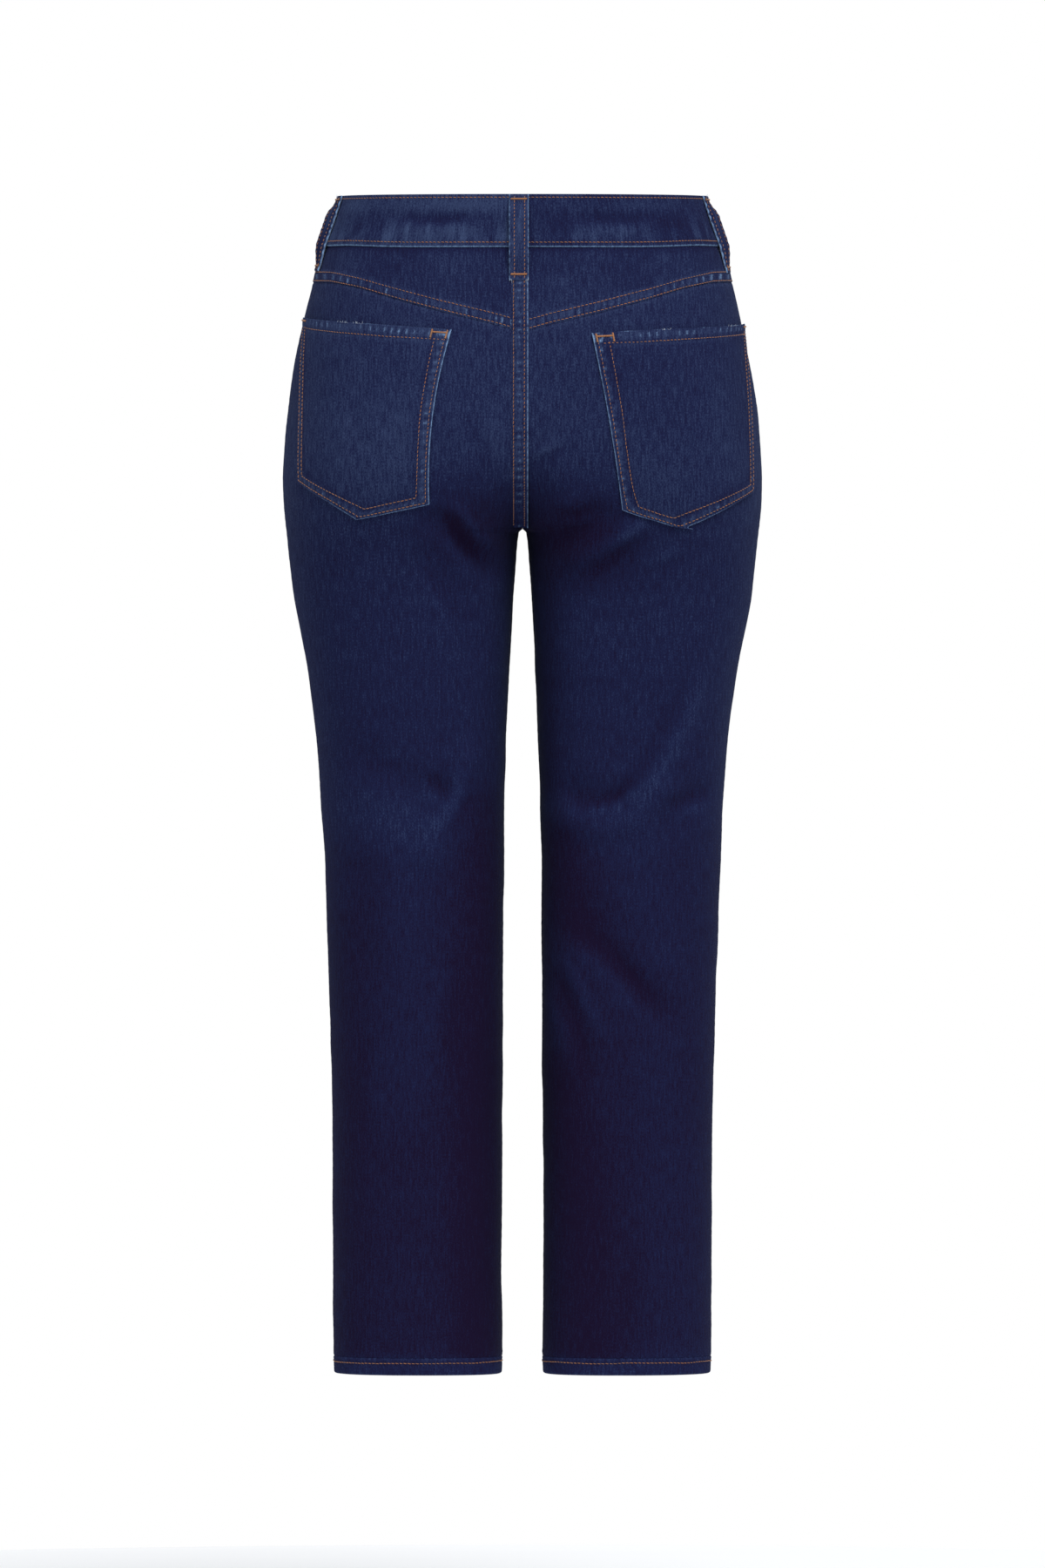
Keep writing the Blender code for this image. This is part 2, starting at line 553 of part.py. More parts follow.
def zip_strip():
    """The closed zip's tape, behind the centre front."""
    level = np.linspace(ZIP_TOP, ZIP_FOOT, 8)[:, None]
    x = np.linspace(-ZIP_HALF_WIDTH, ZIP_HALF_WIDTH, 5)[None, :] + 0 * level
    level = np.repeat(level, 5, axis=1)
    near = -CLOTH - FLY_CLEAR
    outer, inner = (lifted_at(x, level, "front", t) for t in (near, near - ZIP_WALL))
    wall("zip", outer, inner, DENIM_LIGHT)


def button():
    """A shank button: a turned profile set on the waistband's upper end."""
    profile = [(0.0, BUTTON_HEIGHT), (0.55, 1.0 * BUTTON_HEIGHT), (0.86, 0.88 * BUTTON_HEIGHT),
               (1.0, 0.62 * BUTTON_HEIGHT), (0.96, 0.42 * BUTTON_HEIGHT),
               (0.62, 0.34 * BUTTON_HEIGHT), (0.6, 0.0), (0.0, 0.0)]
    mesh = bpy.data.meshes.new("button")
    mesh.from_pydata([(r * BUTTON_RADIUS * MM, 0, z * MM) for r, z in profile],
                     [(i, i + 1) for i in range(len(profile) - 1)], [])
    made = add_object("button", mesh, BRASS, 0.35, 1.0)
    turned = made.modifiers.new("turned", "SCREW")
    turned.steps = turned.render_steps = 24
    turned.use_merge_vertices = True
    turned.merge_threshold = 0.00005
    turned.use_normal_calculate = True
    at = np.array([[BUTTON_X]]), np.array([[0.5 * (BAND_TOP + BAND_FOOT)]])
    stand = BAND_PROUD + LAP_RISE + SEAM_GAP
    low = lifted_at(*at, "front", stand)[0, 0]
    out = lifted_at(*at, "front", stand + BUTTON_HEIGHT)[0, 0] - low
    turn = Vector((0, 0, 1)).rotation_difference(Vector(out)).to_matrix().to_4x4()
    made.matrix_world = Matrix.Translation(Vector(low * MM)) @ turn


def main():
    for old in list(bpy.data.objects):
        bpy.data.objects.remove(old)
    bpy.context.scene.collection.children.link(bpy.data.collections.new(NAME))
    for name, side in (("left", 1.0), ("right", -1.0)):
        back_panel("back_" + name, side)
        yoke("yoke_" + name, side)
        front_panel("front_" + name, side)
        front_facing("pocket_front_" + name, side)
        hem("hem_" + name, side)
    for pocket in BACK_POCKETS:
        back_pocket(pocket)
    for loop in BELT_LOOPS:
        belt_loop(loop)
    waistband()
    fly()
    zip_strip()
    button()


main()
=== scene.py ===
"""Boyfriend jeans: the look of the packed model, laid out as an add-on and run as a script.

Every piece of cloth is a thin shell on the same worked-out surface as its solid, with the finer
creases, seam ridges and puckers on top. Lengths are in millimetres until a mesh is made. The front
faces -Y, and the wearer's left is at +X. A point of the cloth is given by its distance, along the
half section from the centre front round the side to the centre back, by its level and by its side,
+1 on the wearer's left and -1 on the right. Small numbers next to a call of noise or pucker pick
its pattern.
"""

import json
import math
from collections import namedtuple

import bpy
import numpy as np
from mathutils import Matrix, Vector

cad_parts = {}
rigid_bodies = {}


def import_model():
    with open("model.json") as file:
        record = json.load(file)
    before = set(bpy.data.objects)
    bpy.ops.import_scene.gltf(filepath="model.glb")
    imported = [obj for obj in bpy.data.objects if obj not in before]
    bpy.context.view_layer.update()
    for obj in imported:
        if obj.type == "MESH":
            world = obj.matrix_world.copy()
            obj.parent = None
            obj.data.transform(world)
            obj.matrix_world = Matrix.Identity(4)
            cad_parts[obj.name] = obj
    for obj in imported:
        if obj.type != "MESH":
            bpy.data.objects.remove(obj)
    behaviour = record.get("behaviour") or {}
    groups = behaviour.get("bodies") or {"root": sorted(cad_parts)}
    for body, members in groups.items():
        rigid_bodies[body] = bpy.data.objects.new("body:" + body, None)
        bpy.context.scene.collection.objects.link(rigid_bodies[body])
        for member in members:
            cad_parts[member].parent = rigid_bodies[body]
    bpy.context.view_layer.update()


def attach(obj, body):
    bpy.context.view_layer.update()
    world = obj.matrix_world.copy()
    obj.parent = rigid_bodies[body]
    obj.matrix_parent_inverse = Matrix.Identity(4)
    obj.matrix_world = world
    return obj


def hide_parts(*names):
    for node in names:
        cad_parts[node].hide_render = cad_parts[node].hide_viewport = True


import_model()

bl_info = {
    "name": "Boyfriend jeans",
    "version": (1, 0, 0),
    "blender": (4, 5, 0),
    "location": "View3D > Sidebar > Jeans",
    "description": "Builds the denim, seams, threads and trims of a pair of boyfriend jeans",
    "category": "Add Mesh",
}

MM = 0.001
BODY = "root"
SIDES = (("left", 1.0), ("right", -1.0))

# ---------------------------------------------------------------- sizes shared with the solids
CLOTH = 1.3  # denim wall
BAND_TOP, BAND_FOOT = 20.0, -20.6  # levels of the waistband's edges
BAND_PROUD = 1.3  # the waistband stands this far out of the panels
BAND_SAG = 2.0  # its lower edge dips this much at the centre back
SAG_DEPTH, SAG_FOOT, SAG_TOP = (60.0, 105.0), (-60.0, -20.0), (-15.0, 15.0)
FRONT_DROP = 25.0  # the waist is this much lower at the centre front
DROP_DEPTH, DROP_LEVELS = (15.0, 100.0), (-190.0, -20.0)
CROTCH = -248.0
HEM_TOP, HEM_FOOT = -914.4, -928.4
HEM_PROUD, HEM_WALL = 0.4, 3.0
SIDE_SEAM_FORWARD = 9.0  # round the leg, in front of the outermost line

Section = namedtuple("Section", "level half_width inner front back middle ridge_front ridge_back")
SECTIONS = [
    Section(20.0, 147.0, -900.0, 105.0, 103.0, 0.0, 0.0, 0.0),
    Section(0.0, 153.3, -900.0, 107.5, 107.0, 0.0, 0.0, 1.0),
    Section(-20.6, 160.2, -900.0, 110.0, 112.0, 0.0, 0.0, 6.0),
    Section(-48.0, 168.7, -800.0, 113.0, 120.0, 0.0, 1.0, 16.0),
    Section(-81.5, 176.4, -600.0, 116.0, 129.0, 0.0, 8.0, 30.0),
    Section(-123.5, 184.8, -300.0, 118.0, 137.0, 0.0, 24.0, 48.0),
    Section(-165.5, 190.4, -120.0, 118.0, 139.5, 0.0, 44.0, 62.0),
    Section(-190.0, 191.9, -62.0, 116.5, 137.0, 0.0, 56.0, 70.0),
    Section(-207.5, 192.5, -33.0, 115.0, 133.0, 0.0, 64.0, 75.0),
    Section(-228.0, 192.2, -11.0, 112.5, 126.0, 0.0, 73.0, 80.5),
    Section(-240.0, 191.4, -2.8, 110.6, 121.0, -0.3, 77.5, 83.0),
    Section(CROTCH, 190.6, 0.15, 109.2, 117.5, -0.6, 80.0, 84.5),
    Section(-250.5, 190.3, 3.3, 108.8, 116.4, -0.7, 81.0, 85.0),
    Section(-276.0, 187.6, 5.6, 104.8, 106.6, -1.8, 87.5, 89.5),
    Section(-304.0, 184.1, 7.7, 101.0, 99.5, -3.0, 91.0, 92.0),
    Section(-360.0, 173.6, 10.5, 94.0, 91.0, -4.0, 91.5, 92.0),
    Section(-416.0, 165.9, 13.3, 87.0, 84.0, -5.0, 89.6, 89.6),
    Section(-472.0, 161.7, 14.7, 80.0, 78.0, -5.0, 88.2, 88.2),
    Section(-528.0, 158.9, 15.4, 74.5, 74.0, -3.0, 87.2, 87.2),
    Section(-612.0, 156.1, 16.1, 69.0, 70.0, 0.0, 86.1, 86.1),
    Section(-724.0, 153.3, 16.8, 64.0, 65.0, 3.0, 85.0, 85.0),
    Section(-836.0, 152.6, 17.1, 61.0, 62.0, 5.0, 84.9, 84.9),
    Section(-930.0, 151.9, 16.8, 59.0, 59.5, 6.0, 84.4, 84.4),
]
OUTER_ROUND = 2.3  # powers of the superellipses that round a section off
INNER_ROUND_FRONT, INNER_ROUND_BACK = 2.2, 2.8
RING_POINTS = 160
SPLIT_X, SPLIT_SHARE = 0.5, 7 / 12  # this share of a panel's columns lies beyond half its width

YokeStation = namedtuple("YokeStation", "share level")
YOKE_SEAM = [
    YokeStation(0.0, -90.6), YokeStation(0.13, -84.3), YokeStation(0.36, -74.8),
    YokeStation(0.59, -64.2), YokeStation(0.75, -55.6), YokeStation(0.88, -50.6),
    YokeStation(1.0, -49.2),
]
YOKE_WIDTH_LEVEL = -70.0  # the shares are of the half width at this level

# The solids' folds. face is front or back, route the line as (x, level), reach the half width of
# the soft profile, and height is below zero for a trough.
Fold = namedtuple("Fold", "face reach height route")
FOLD_FACE = (12.0, 42.0)  # depth from the middle over which a face's folds come in
FOLD_CENTRE = (0.0, 12.0)  # and the same from the centre plane
FOLDS = [
    Fold("back", 10.0, -4.5, [(69, -242), (46, -262), (26, -280)]),
    Fold("back", 9.0, 2.5, [(56, -236), (34, -256)]),
    Fold("back", 13.0, -2.6, [(73, -275), (49, -307), (37, -342)]),
    Fold("back", 15.0, -3.2, [(122, -434), (90, -455), (60, -462)]),
    Fold("back", 14.0, 3.6, [(44, -434), (56, -478), (74, -508)]),
    Fold("back", 16.0, -2.4, [(129, -524), (129, -590)]),
    Fold("back", 9.0, 2.6, [(-10, -240), (-37, -228)]),
    Fold("back", 12.0, 4.2, [(-44, -270), (-86, -249)]),
    Fold("back", 11.0, -3.4, [(-36, -256), (-62, -238)]),
    Fold("back", 13.0, 3.8, [(-38, -481), (-64, -488), (-93, -480), (-114, -460)]),
    Fold("back", 13.0, -3.2, [(-44, -460), (-72, -464)]),
    Fold("back", 14.0, -3.0, [(-118, -480), (-140, -462)]),
    Fold("back", 17.0, -3.4, [(-58, -560), (-78, -600), (-110, -636)]),
    Fold("front", 11.0, -3.6, [(14, -216), (52, -190), (92, -178)]),
    Fold("front", 12.0, 2.8, [(24, -238), (66, -216)]),
    Fold("front", 13.0, -3.0, [(34, -268), (78, -258), (112, -268)]),
    Fold("front", 15.0, 3.2, [(46, -440), (84, -452), (124, -442)]),
    Fold("front", 16.0, -3.0, [(40, -478), (78, -492), (118, -520)]),
    Fold("front", 11.0, -3.4, [(-14, -212), (-48, -184), (-96, -164)]),
    Fold("front", 12.0, 2.6, [(-28, -244), (-74, -228)]),
    Fold("front", 14.0, -2.8, [(-30, -284), (-70, -300)]),
    Fold("front", 14.0, 3.0, [(-52, -462), (-96, -450), (-132, -464)]),
    Fold("front", 17.0, -2.8, [(-44, -500), (-92, -540), (-126, -566)]),
]

BackPocket = namedtuple("BackPocket", "side top_in top_out foot_in point foot_out bow_in bow_out")
BACK_POCKETS = {
    "left": BackPocket(1.0, (56.5, -89.5), (173.8, -78.4), (74.4, -228.0),
                       (132.3, -240.4), (178.6, -210.3), 6.2, 2.0),
    "right": BackPocket(-1.0, (-55.2, -92.2), (-176.4, -83.2), (-79.8, -232.2),
                        (-140.7, -247.8), (-183.4, -218.0), 1.8, 2.6),
}
POCKET_WALL, POCKET_CLEAR = 1.2, 0.8
MOUTH_INSET, MOUTH_DEPTH = 98.0, 78.0
FACING_UNDER, FACING_WALL, FACING_CLEAR, FACING_TUCK = 24.0, 1.2, 1.8, 5.0
FLY_LAP, FLY_WIDTH, FLY_FOOT = 6.0, 37.0, -160.0
FLY_WALL, FLY_CLEAR = 1.1, 0.7
J_START, J_POWER = 0.62, 2.2
ZIP_HALF_WIDTH, ZIP_TOP, ZIP_FOOT, ZIP_WALL = 14.0, -23.6, -146.0, 1.1
BAND_LAP, BAND_UNDERLAP = 8.0, 26.0
LAP_RISE = 2.9
LAP_RISE_START, LAP_RISE_END = 74.0, 34.0
BUTTON_RADIUS, BUTTON_HEIGHT, BUTTON_X = 8.5, 3.4, 2.0

BeltLoop = namedtuple("BeltLoop", "name side start round_waist foot stand_off")
LOOP_WIDTH, LOOP_WALL, LOOP_INSET = 15.6, 1.9, 0.8
LOOP_TOP_BEND, LOOP_FOOT_BEND = 0.3, 0.36
LOOP_STEP = (-27.6, -22.6)
BELT_LOOPS = [
    BeltLoop("belt_loop_back", 1.0, "centre_back", -2.9, -49.3, 5.4),
    BeltLoop("belt_loop_side_left", 1.0, "outermost", 25.0, -41.0, 4.4),
    BeltLoop("belt_loop_side_right", -1.0, "outermost", 25.0, -42.5, 4.4),
    BeltLoop("belt_loop_front_left", 1.0, "centre_front", 92.0, -42.0, 4.0),
    BeltLoop("belt_loop_front_right", -1.0, "centre_front", 92.0, -42.0, 4.0),
]

# ---------------------------------------------------------------- finer cloth of this scene only
SEAM_HALF_GAP = 0.05  # between the two sides at the centre
TUCK = 0.8  # a piece's rounded edge runs this far under the next piece at a seam
STEP, FINE_STEP = 3.0, 2.2  # between the points of a leg's cloth, and of a yoke's or back pocket's
EDGE_STEPS = np.array([0.0, 0.3, 0.8, 1.5, 2.4, 3.6, 5.0])  # closer together at a piece's edges
LEG_WIDTH, YOKE_WIDTH = 205.0, 196.0  # rough widths of the panels, for the number of columns
CLOSE_ROWS, CLOSE_STEP = (-262.0, -234.0), 1.4  # a leg's rows are closer at the crotch
UPPER_FOOT, UPPER_HEIGHT = -150.0, 75.0  # above this level a back leg's rows run up to the yoke
FAR = 99.0  # stands for the distance to a seam that isn't there
SEAM_SEEDS = (11, 12)  # of the side seam's puckers and the inside leg seam's
FELL_WIDTH = 9.6  # of the lapped seams at the yoke
FELL_RISE = 0.8
FELL_ROWS = (1.4, 8.4)  # stitch rows above the yoke's lower edge
SEAT_FELL = (8.6, -4.5)  # x of the centre-back seam's two edges
SEAT_ROWS = (7.2, -1.5)  # x of its stitch rows
BRIDGE = 6.5  # from the centre plane, where those seams lie straight across
PUCKER_LENGTH = 6.5
BAND_ROWS = (BAND_FOOT + 3.6, BAND_TOP - 2.9)  # levels of the waistband's stitch rows
BAND_END_ROW = BAND_LAP - 2.6  # distance of the row down its upper end
POCKET_WIDTH, POCKET_HEIGHT = 118.0, 158.0  # of a back pocket
POCKET_HEM = 9.4  # its top edge is turned down this far
POCKET_ROWS = (2.3, 8.0)  # stitch rows inside its sides and foot
POCKET_SWELL = 1.1
MOUTH_ROWS = (1.8, 8.0)  # stitch rows inside a front pocket's mouth
FLY_ROWS = (2.2, 8.4)  # and inside the fly's edge
LOOP_ROWS = (-4.6, 3.6)  # stitch rows across a belt loop
HEM_ROW = 9.9  # the stitch row's height above the hem's foot
BUTTON_STEPS = 64  # points round the button

# A button's outline from its middle out and round to the back, as shares of radius and height.
ButtonRing = namedtuple("ButtonRing", "radius height")
BUTTON_PROFILE = [
    ButtonRing(0, 0.86), ButtonRing(0.10, 0.86), ButtonRing(0.20, 0.85), ButtonRing(0.27, 0.82),
    ButtonRing(0.34, 0.76), ButtonRing(0.46, 0.73), ButtonRing(0.60, 0.74), ButtonRing(0.68, 0.80),
    ButtonRing(0.76, 0.93), ButtonRing(0.84, 1.0), ButtonRing(0.92, 0.96), ButtonRing(0.98, 0.84),
    ButtonRing(1.0, 0.68), ButtonRing(0.99, 0.52), ButtonRing(0.95, 0.42), ButtonRing(0.80, 0.36),
    ButtonRing(0.62, 0.34), ButtonRing(0.60, 0.20), ButtonRing(0.60, 0), ButtonRing(0, 0),
]

# Finer creases: a ridge (or a trough, below zero) with a shallower trough (ridge) on its left
# as the route is followed. It fades out at both ends of the route.
Crease = namedtuple("Crease", "face reach height route")
CREASES = [
    # seat, thighs, knees and shins from behind
    Crease("back", 5.5, -2.0, [(66, -228), (46, -261), (24, -284)]),
    Crease("back", 4.5, 1.6, [(56, -224), (38, -250), (20, -270)]),
    Crease("back", 4.5, -0.9, [(84, -272), (60, -307), (42, -328)]),
    Crease("back", 6.0, -1.6, [(78, -444), (64, -458), (56, -462)]),
    Crease("back", 5.0, 1.0, [(52, -436), (52, -462), (66, -492)]),
    Crease("back", 6.0, -1.2, [(36, -456), (50, -474), (68, -510)]),
    Crease("back", 6.0, 1.9, [(-38, -284), (-70, -260), (-112, -234)]),
    Crease("back", 4.5, 0.9, [(-96, -280), (-114, -270), (-134, -262)]),
    Crease("back", 5.0, -1.1, [(-20, -232), (-44, -236), (-66, -226)]),
    Crease("back", 7.5, 1.5, [(-150, -350), (-134, -400), (-112, -440), (-86, -476), (-56, -486)]),
    Crease("back", 4.5, -1.4, [(-30, -454), (-48, -470), (-74, -464), (-98, -440)]),
    Crease("back", 7.0, -1.2, [(-108, -472), (-130, -466), (-160, -456)]),
    Crease("back", 8.5, -1.9, [(-30, -562), (-68, -586), (-98, -620), (-128, -648)]),
    Crease("back", 7.0, -1.4, [(-22, -600), (-42, -648), (-58, -700)]),
    Crease("back", 6.0, 1.2, [(-28, -584), (-50, -624), (-66, -664)]),
    Crease("back", 4.0, 1.2, [(-4, -192), (-20, -184), (-36, -174)]),
    Crease("back", 7.0, 0.9, [(30, -150), (22, -180), (14, -208)]),
    Crease("back", 8.0, -0.7, [(50, -600), (60, -650), (52, -700)]),
    Crease("back", 9.0, 0.6, [(110, -640), (118, -700), (108, -760)]),
    Crease("back", 8.0, -0.6, [(-96, -820), (-84, -870), (-88, -910)]),
    Crease("back", 5.0, -1.7, [(112, 1), (66, 0), (21, 2)]),
    Crease("back", 5.0, -1.4, [(-34, 2), (-80, -1), (-118, 3)]),
    # fronts: whiskers at the hips, then the knees and shins
    Crease("front", 5.0, 1.6, [(22, -208), (56, -176), (104, -150)]),
    Crease("front", 5.0, -1.5, [(26, -226), (68, -200), (120, -190)]),
    Crease("front", 5.0, 1.3, [(34, -250), (80, -238), (132, -246)]),
    Crease("front", 6.0, 1.5, [(-20, -200), (-60, -166), (-110, -142)]),
    Crease("front", 5.0, -1.4, [(-24, -226), (-66, -206), (-122, -200)]),
    Crease("front", 6.0, 1.3, [(-36, -262), (-84, -254), (-128, -270)]),
    Crease("front", 6.0, -1.4, [(44, -414), (86, -424), (126, -410)]),
    Crease("front", 5.0, 1.4, [(50, -470), (84, -474), (112, -466)]),
    Crease("front", 7.0, 1.3, [(60, -520), (96, -536), (118, -566)]),
    Crease("front", 6.0, -1.3, [(-46, -430), (-84, -436), (-120, -424)]),
    Crease("front", 5.0, 1.3, [(-50, -488), (-88, -496), (-118, -484)]),
    Crease("front", 8.0, -1.3, [(-60, -600), (-70, -660), (-58, -720)]),
    Crease("front", 8.0, 1.2, [(70, -640), (82, -700), (74, -760)]),
    Crease("front", 8.0, 1.1, [(-90, -760), (-100, -810), (-92, -860)]),
    Crease("front", 7.0, -1.0, [(110, -800), (98, -850), (104, -890)]),
]

# Painted shade (tone below zero) and painted light: soft darker and lighter bands of a leg's tone along
# routes; each stays on its leg.
Shade = namedtuple("Shade", "face reach tone route")
SHADES = [
    Shade("back", 30.0, -0.60, [(4, -252), (44, -244)]),
    Shade("back", 34.0, -0.72, [(-4, -250), (-54, -256)]),
    Shade("back", 21.0, -0.38, [(30, -474), (36, -594), (38, -920)]),
    Shade("back", 24.0, 0.18, [(128, -475), (80, -490)]),
    Shade("back", 22.0, 0.14, [(92, -500), (90, -700)]),
    Shade("back", 14.0, -0.12, [(142, -559), (140, -920)]),
    Shade("back", 10.0, -0.22, [(-20, -290), (-20, -454)]),
    Shade("back", 22.0, -0.42, [(-28, -500), (-42, -560)]),
    Shade("back", 26.0, 0.16, [(-92, -510), (-112, -590)]),
    Shade("back", 26.0, -0.30, [(-28, -690), (-52, -804), (-56, -920)]),
    Shade("back", 28.0, 0.14, [(-110, -660), (-124, -920)]),
    Shade("back", 16.0, 0.10, [(150, -190), (146, -250)]),
    Shade("front", 28.0, -0.30, [(4, -252), (40, -244)]),
    Shade("front", 28.0, -0.30, [(-4, -252), (-44, -246)]),
    Shade("front", 18.0, -0.22, [(26, -500), (36, -620), (38, -920)]),
    Shade("front", 18.0, -0.22, [(-26, -520), (-38, -640), (-40, -920)]),
    Shade("front", 24.0, 0.14, [(120, -450), (84, -470)]),
    Shade("front", 24.0, 0.14, [(-122, -460), (-80, -474)]),
]
# A leg's tone at levels from the hem up: partly real fading and partly painted shading, darker at the
# shins and lighter at the seat.
Fade = namedtuple("Fade", "level tone")
LEG_FADES_AND_SHADING = [
    Fade(-920, -0.18), Fade(-700, -0.16), Fade(-520, 0.0), Fade(-470, 0.20), Fade(-420, 0.22),
    Fade(-330, 0.32), Fade(-262, 0.36), Fade(-236, 0.44), Fade(-200, 0.54), Fade(-120, 0.58),
    Fade(-40, 0.54),
]


# ---------------------------------------------------------------- the surface

def smooth(t):
    """0 below 0, 1 above 1, and an S curve between."""
    t = np.clip(t, 0, 1)
    return t * t * (3 - 2 * t)


def ramp(value, start, end):
    """Climbs from 0 at start to 1 at end."""
    return smooth((value - start) / (end - start))


def bump(value, width):
    """1 at 0, falling like a bell; width is where it has fallen to a third."""
    return np.exp(-((value / width) ** 2))


def plateau(value, start, full, fade, end):
    """Climbs from 0 at start to 1 at full, and falls from 1 at fade to 0 at end."""
    return ramp(value, start, full) * (1 - ramp(value, fade, end))


def noise(a, b, seed):
    """Smooth noise from -1 to 1: random values at whole numbers of a and b, joined by S curves."""
    table = np.random.default_rng(seed).uniform(-1, 1, (64, 64))
    a, b = np.broadcast_arrays(a, b)
    i, j = np.floor(a).astype(int), np.floor(b).astype(int)
    s, t = smooth(a - i), smooth(b - j)
    low = table[i % 64, j % 64] * (1 - s) + table[(i + 1) % 64, j % 64] * s
    high = table[i % 64, (j + 1) % 64] * (1 - s) + table[(i + 1) % 64, (j + 1) % 64] * s
    return low * (1 - t) + high * t


def column(name, level):
    """A column of SECTIONS at any level: a monotone cubic through its rows."""
    rows = sorted(SECTIONS)
    knots = np.array([row.level for row in rows])
    values = np.array([getattr(row, name) for row in rows])
    slope = np.diff(values) / np.diff(knots)
    before, after = slope[:-1], slope[1:]
    same_way = before * after > 0
    inner = np.where(same_way, 2 * before * after / np.where(same_way, before + after, 1), 0)
    tangent = np.concatenate([slope[:1], inner, slope[-1:]])
    level = np.clip(level, knots[0], knots[-1])
    i = np.clip(np.searchsorted(knots, level) - 1, 0, len(knots) - 2)
    width = knots[i + 1] - knots[i]
    t = (level - knots[i]) / width
    return (
        (1 + 2 * t) * (1 - t) ** 2 * values[i]
        + t * (1 - t) ** 2 * width * tangent[i]
        + t * t * (3 - 2 * t) * values[i + 1]
        + t * t * (t - 1) * width * tangent[i + 1]
    )


def fine_ring(level):
    """Half sections at these levels, from the front end round the side to the back end.

    Returns x, y, the distance along each section, and the distance of the outermost point. Each
    quarter is a superellipse: the outer one from the ridge to the half width, the inner one from
    the ridge to the inner limit, cut off at the centre plane."""
    level = np.asarray(level, float)[:, None]
    wide, inner, middle = (column(c, level) for c in ("half_width", "inner", "middle"))
    start = np.maximum(inner, 0)
    turn = np.linspace(0, math.pi / 2, RING_POINTS // 4)[None, :]
    quarters = []
    for face, round_in in (("front", INNER_ROUND_FRONT), ("back", INNER_ROUND_BACK)):
        ridge, depth = column("ridge_" + face, level), column(face, level)
        out_x = ridge + (wide - ridge) * np.sin(turn) ** (2 / OUTER_ROUND)
        out_y = depth * np.cos(turn) ** (2 / OUTER_ROUND)
        reach = np.maximum(ridge - inner, 1e-6)
        cut = np.arcsin(np.clip((ridge - start) / reach, 0, 1) ** (round_in / 2))
        in_turn = cut * np.linspace(1, 0, RING_POINTS // 4)[None, :]
        in_x = ridge - reach * np.sin(in_turn) ** (2 / round_in)
        in_y = depth * np.clip(np.cos(in_turn), 0, 1) ** (2 / round_in)
        quarters.append((np.hstack([in_x[:, :-1], out_x]), np.hstack([in_y[:, :-1], out_y])))
    (front_x, front_y), (back_x, back_y) = quarters
    x = np.hstack([front_x, back_x[:, -2::-1]])
    y = np.hstack([middle - front_y, middle + back_y[:, -2::-1]])
    steps = np.hypot(np.diff(x, axis=1), np.diff(y, axis=1))
    along = np.hstack([np.zeros_like(level), np.cumsum(steps, axis=1)])
    return x, y, along, along[:, front_x.shape[1] - 1]


def by_rows(wanted, keys, values):
    """Interpolates each row of values, whose keys rise, at that row of wanted."""
    span = keys.max() + abs(wanted).max() + 1.0
    offset = np.arange(len(keys))[:, None] * 2 * span
    return np.interp(wanted + offset, (keys + offset).ravel(), values.ravel())


def side_seam(level):
    """Distance of the side seam along the half section, and the section's whole length."""
    _, _, along, outermost = fine_ring(level)
    return outermost - SIDE_SEAM_FORWARD, along[:, -1]


def bare_point(distance, level, past_outermost=False):
    """The smooth surface: points at these distances along the half sections at these levels, or
    past each section's outermost point."""
    shape = distance.shape
    x, y, along, outermost = fine_ring(level.ravel())
    wanted = distance.reshape(-1, 1) + (outermost[:, None] if past_outermost else 0)
    wanted = np.clip(wanted, 0, along[:, -1:])
    px, py = (by_rows(wanted, along, values).reshape(shape) for values in (x, y))
    drop = FRONT_DROP * ramp(-py, *DROP_DEPTH) * ramp(level, *DROP_LEVELS)
    sag = BAND_SAG * ramp(py, *SAG_DEPTH) * ramp(level, *SAG_FOOT) * (1 - ramp(level, *SAG_TOP))
    return np.stack([px, py, level - drop - sag], axis=-1)


def distance_at(x, level, face):
    """Distance along the half section where it passes x, on the front or back face."""
    ring_x, _, along, outermost = fine_ring(level.ravel())
    peak = np.argmin(np.abs(along - outermost[:, None]), axis=1)[0]
    wanted = np.abs(x).reshape(-1, 1)
    if face == "front":
        return by_rows(wanted, ring_x[:, : peak + 1], along[:, : peak + 1]).reshape(x.shape)
    turned_x, turned = ring_x[:, : peak - 1 : -1], along[:, : peak - 1 : -1]
    return by_rows(wanted, turned_x, turned).reshape(x.shape)


def route_offset(x, level, route):
    """Distance from a route to each point, that distance signed to its left, and the share of the
    route's length where the nearest point lies."""
    lengths = [math.dist(a, b) for a, b in zip(route, route[1:])]
    nearest = np.full(x.shape, np.inf)
    left, share, passed = np.zeros(x.shape), np.zeros(x.shape), 0.0
    for (ax, az), (bx, bz), length in zip(route, route[1:], lengths):
        run, rise = (bx - ax) / length, (bz - az) / length
        along = np.clip((x - ax) * run + (level - az) * rise, 0, length)
        across = (level - az) * run - (x - ax) * rise
        away = np.hypot(x - ax - along * run, level - az - along * rise)
        closer = away < nearest
        nearest = np.where(closer, away, nearest)
        left = np.where(closer, across, left)
        share = np.where(closer, (passed + along) / sum(lengths), share)
        passed += length
    return nearest, left, share


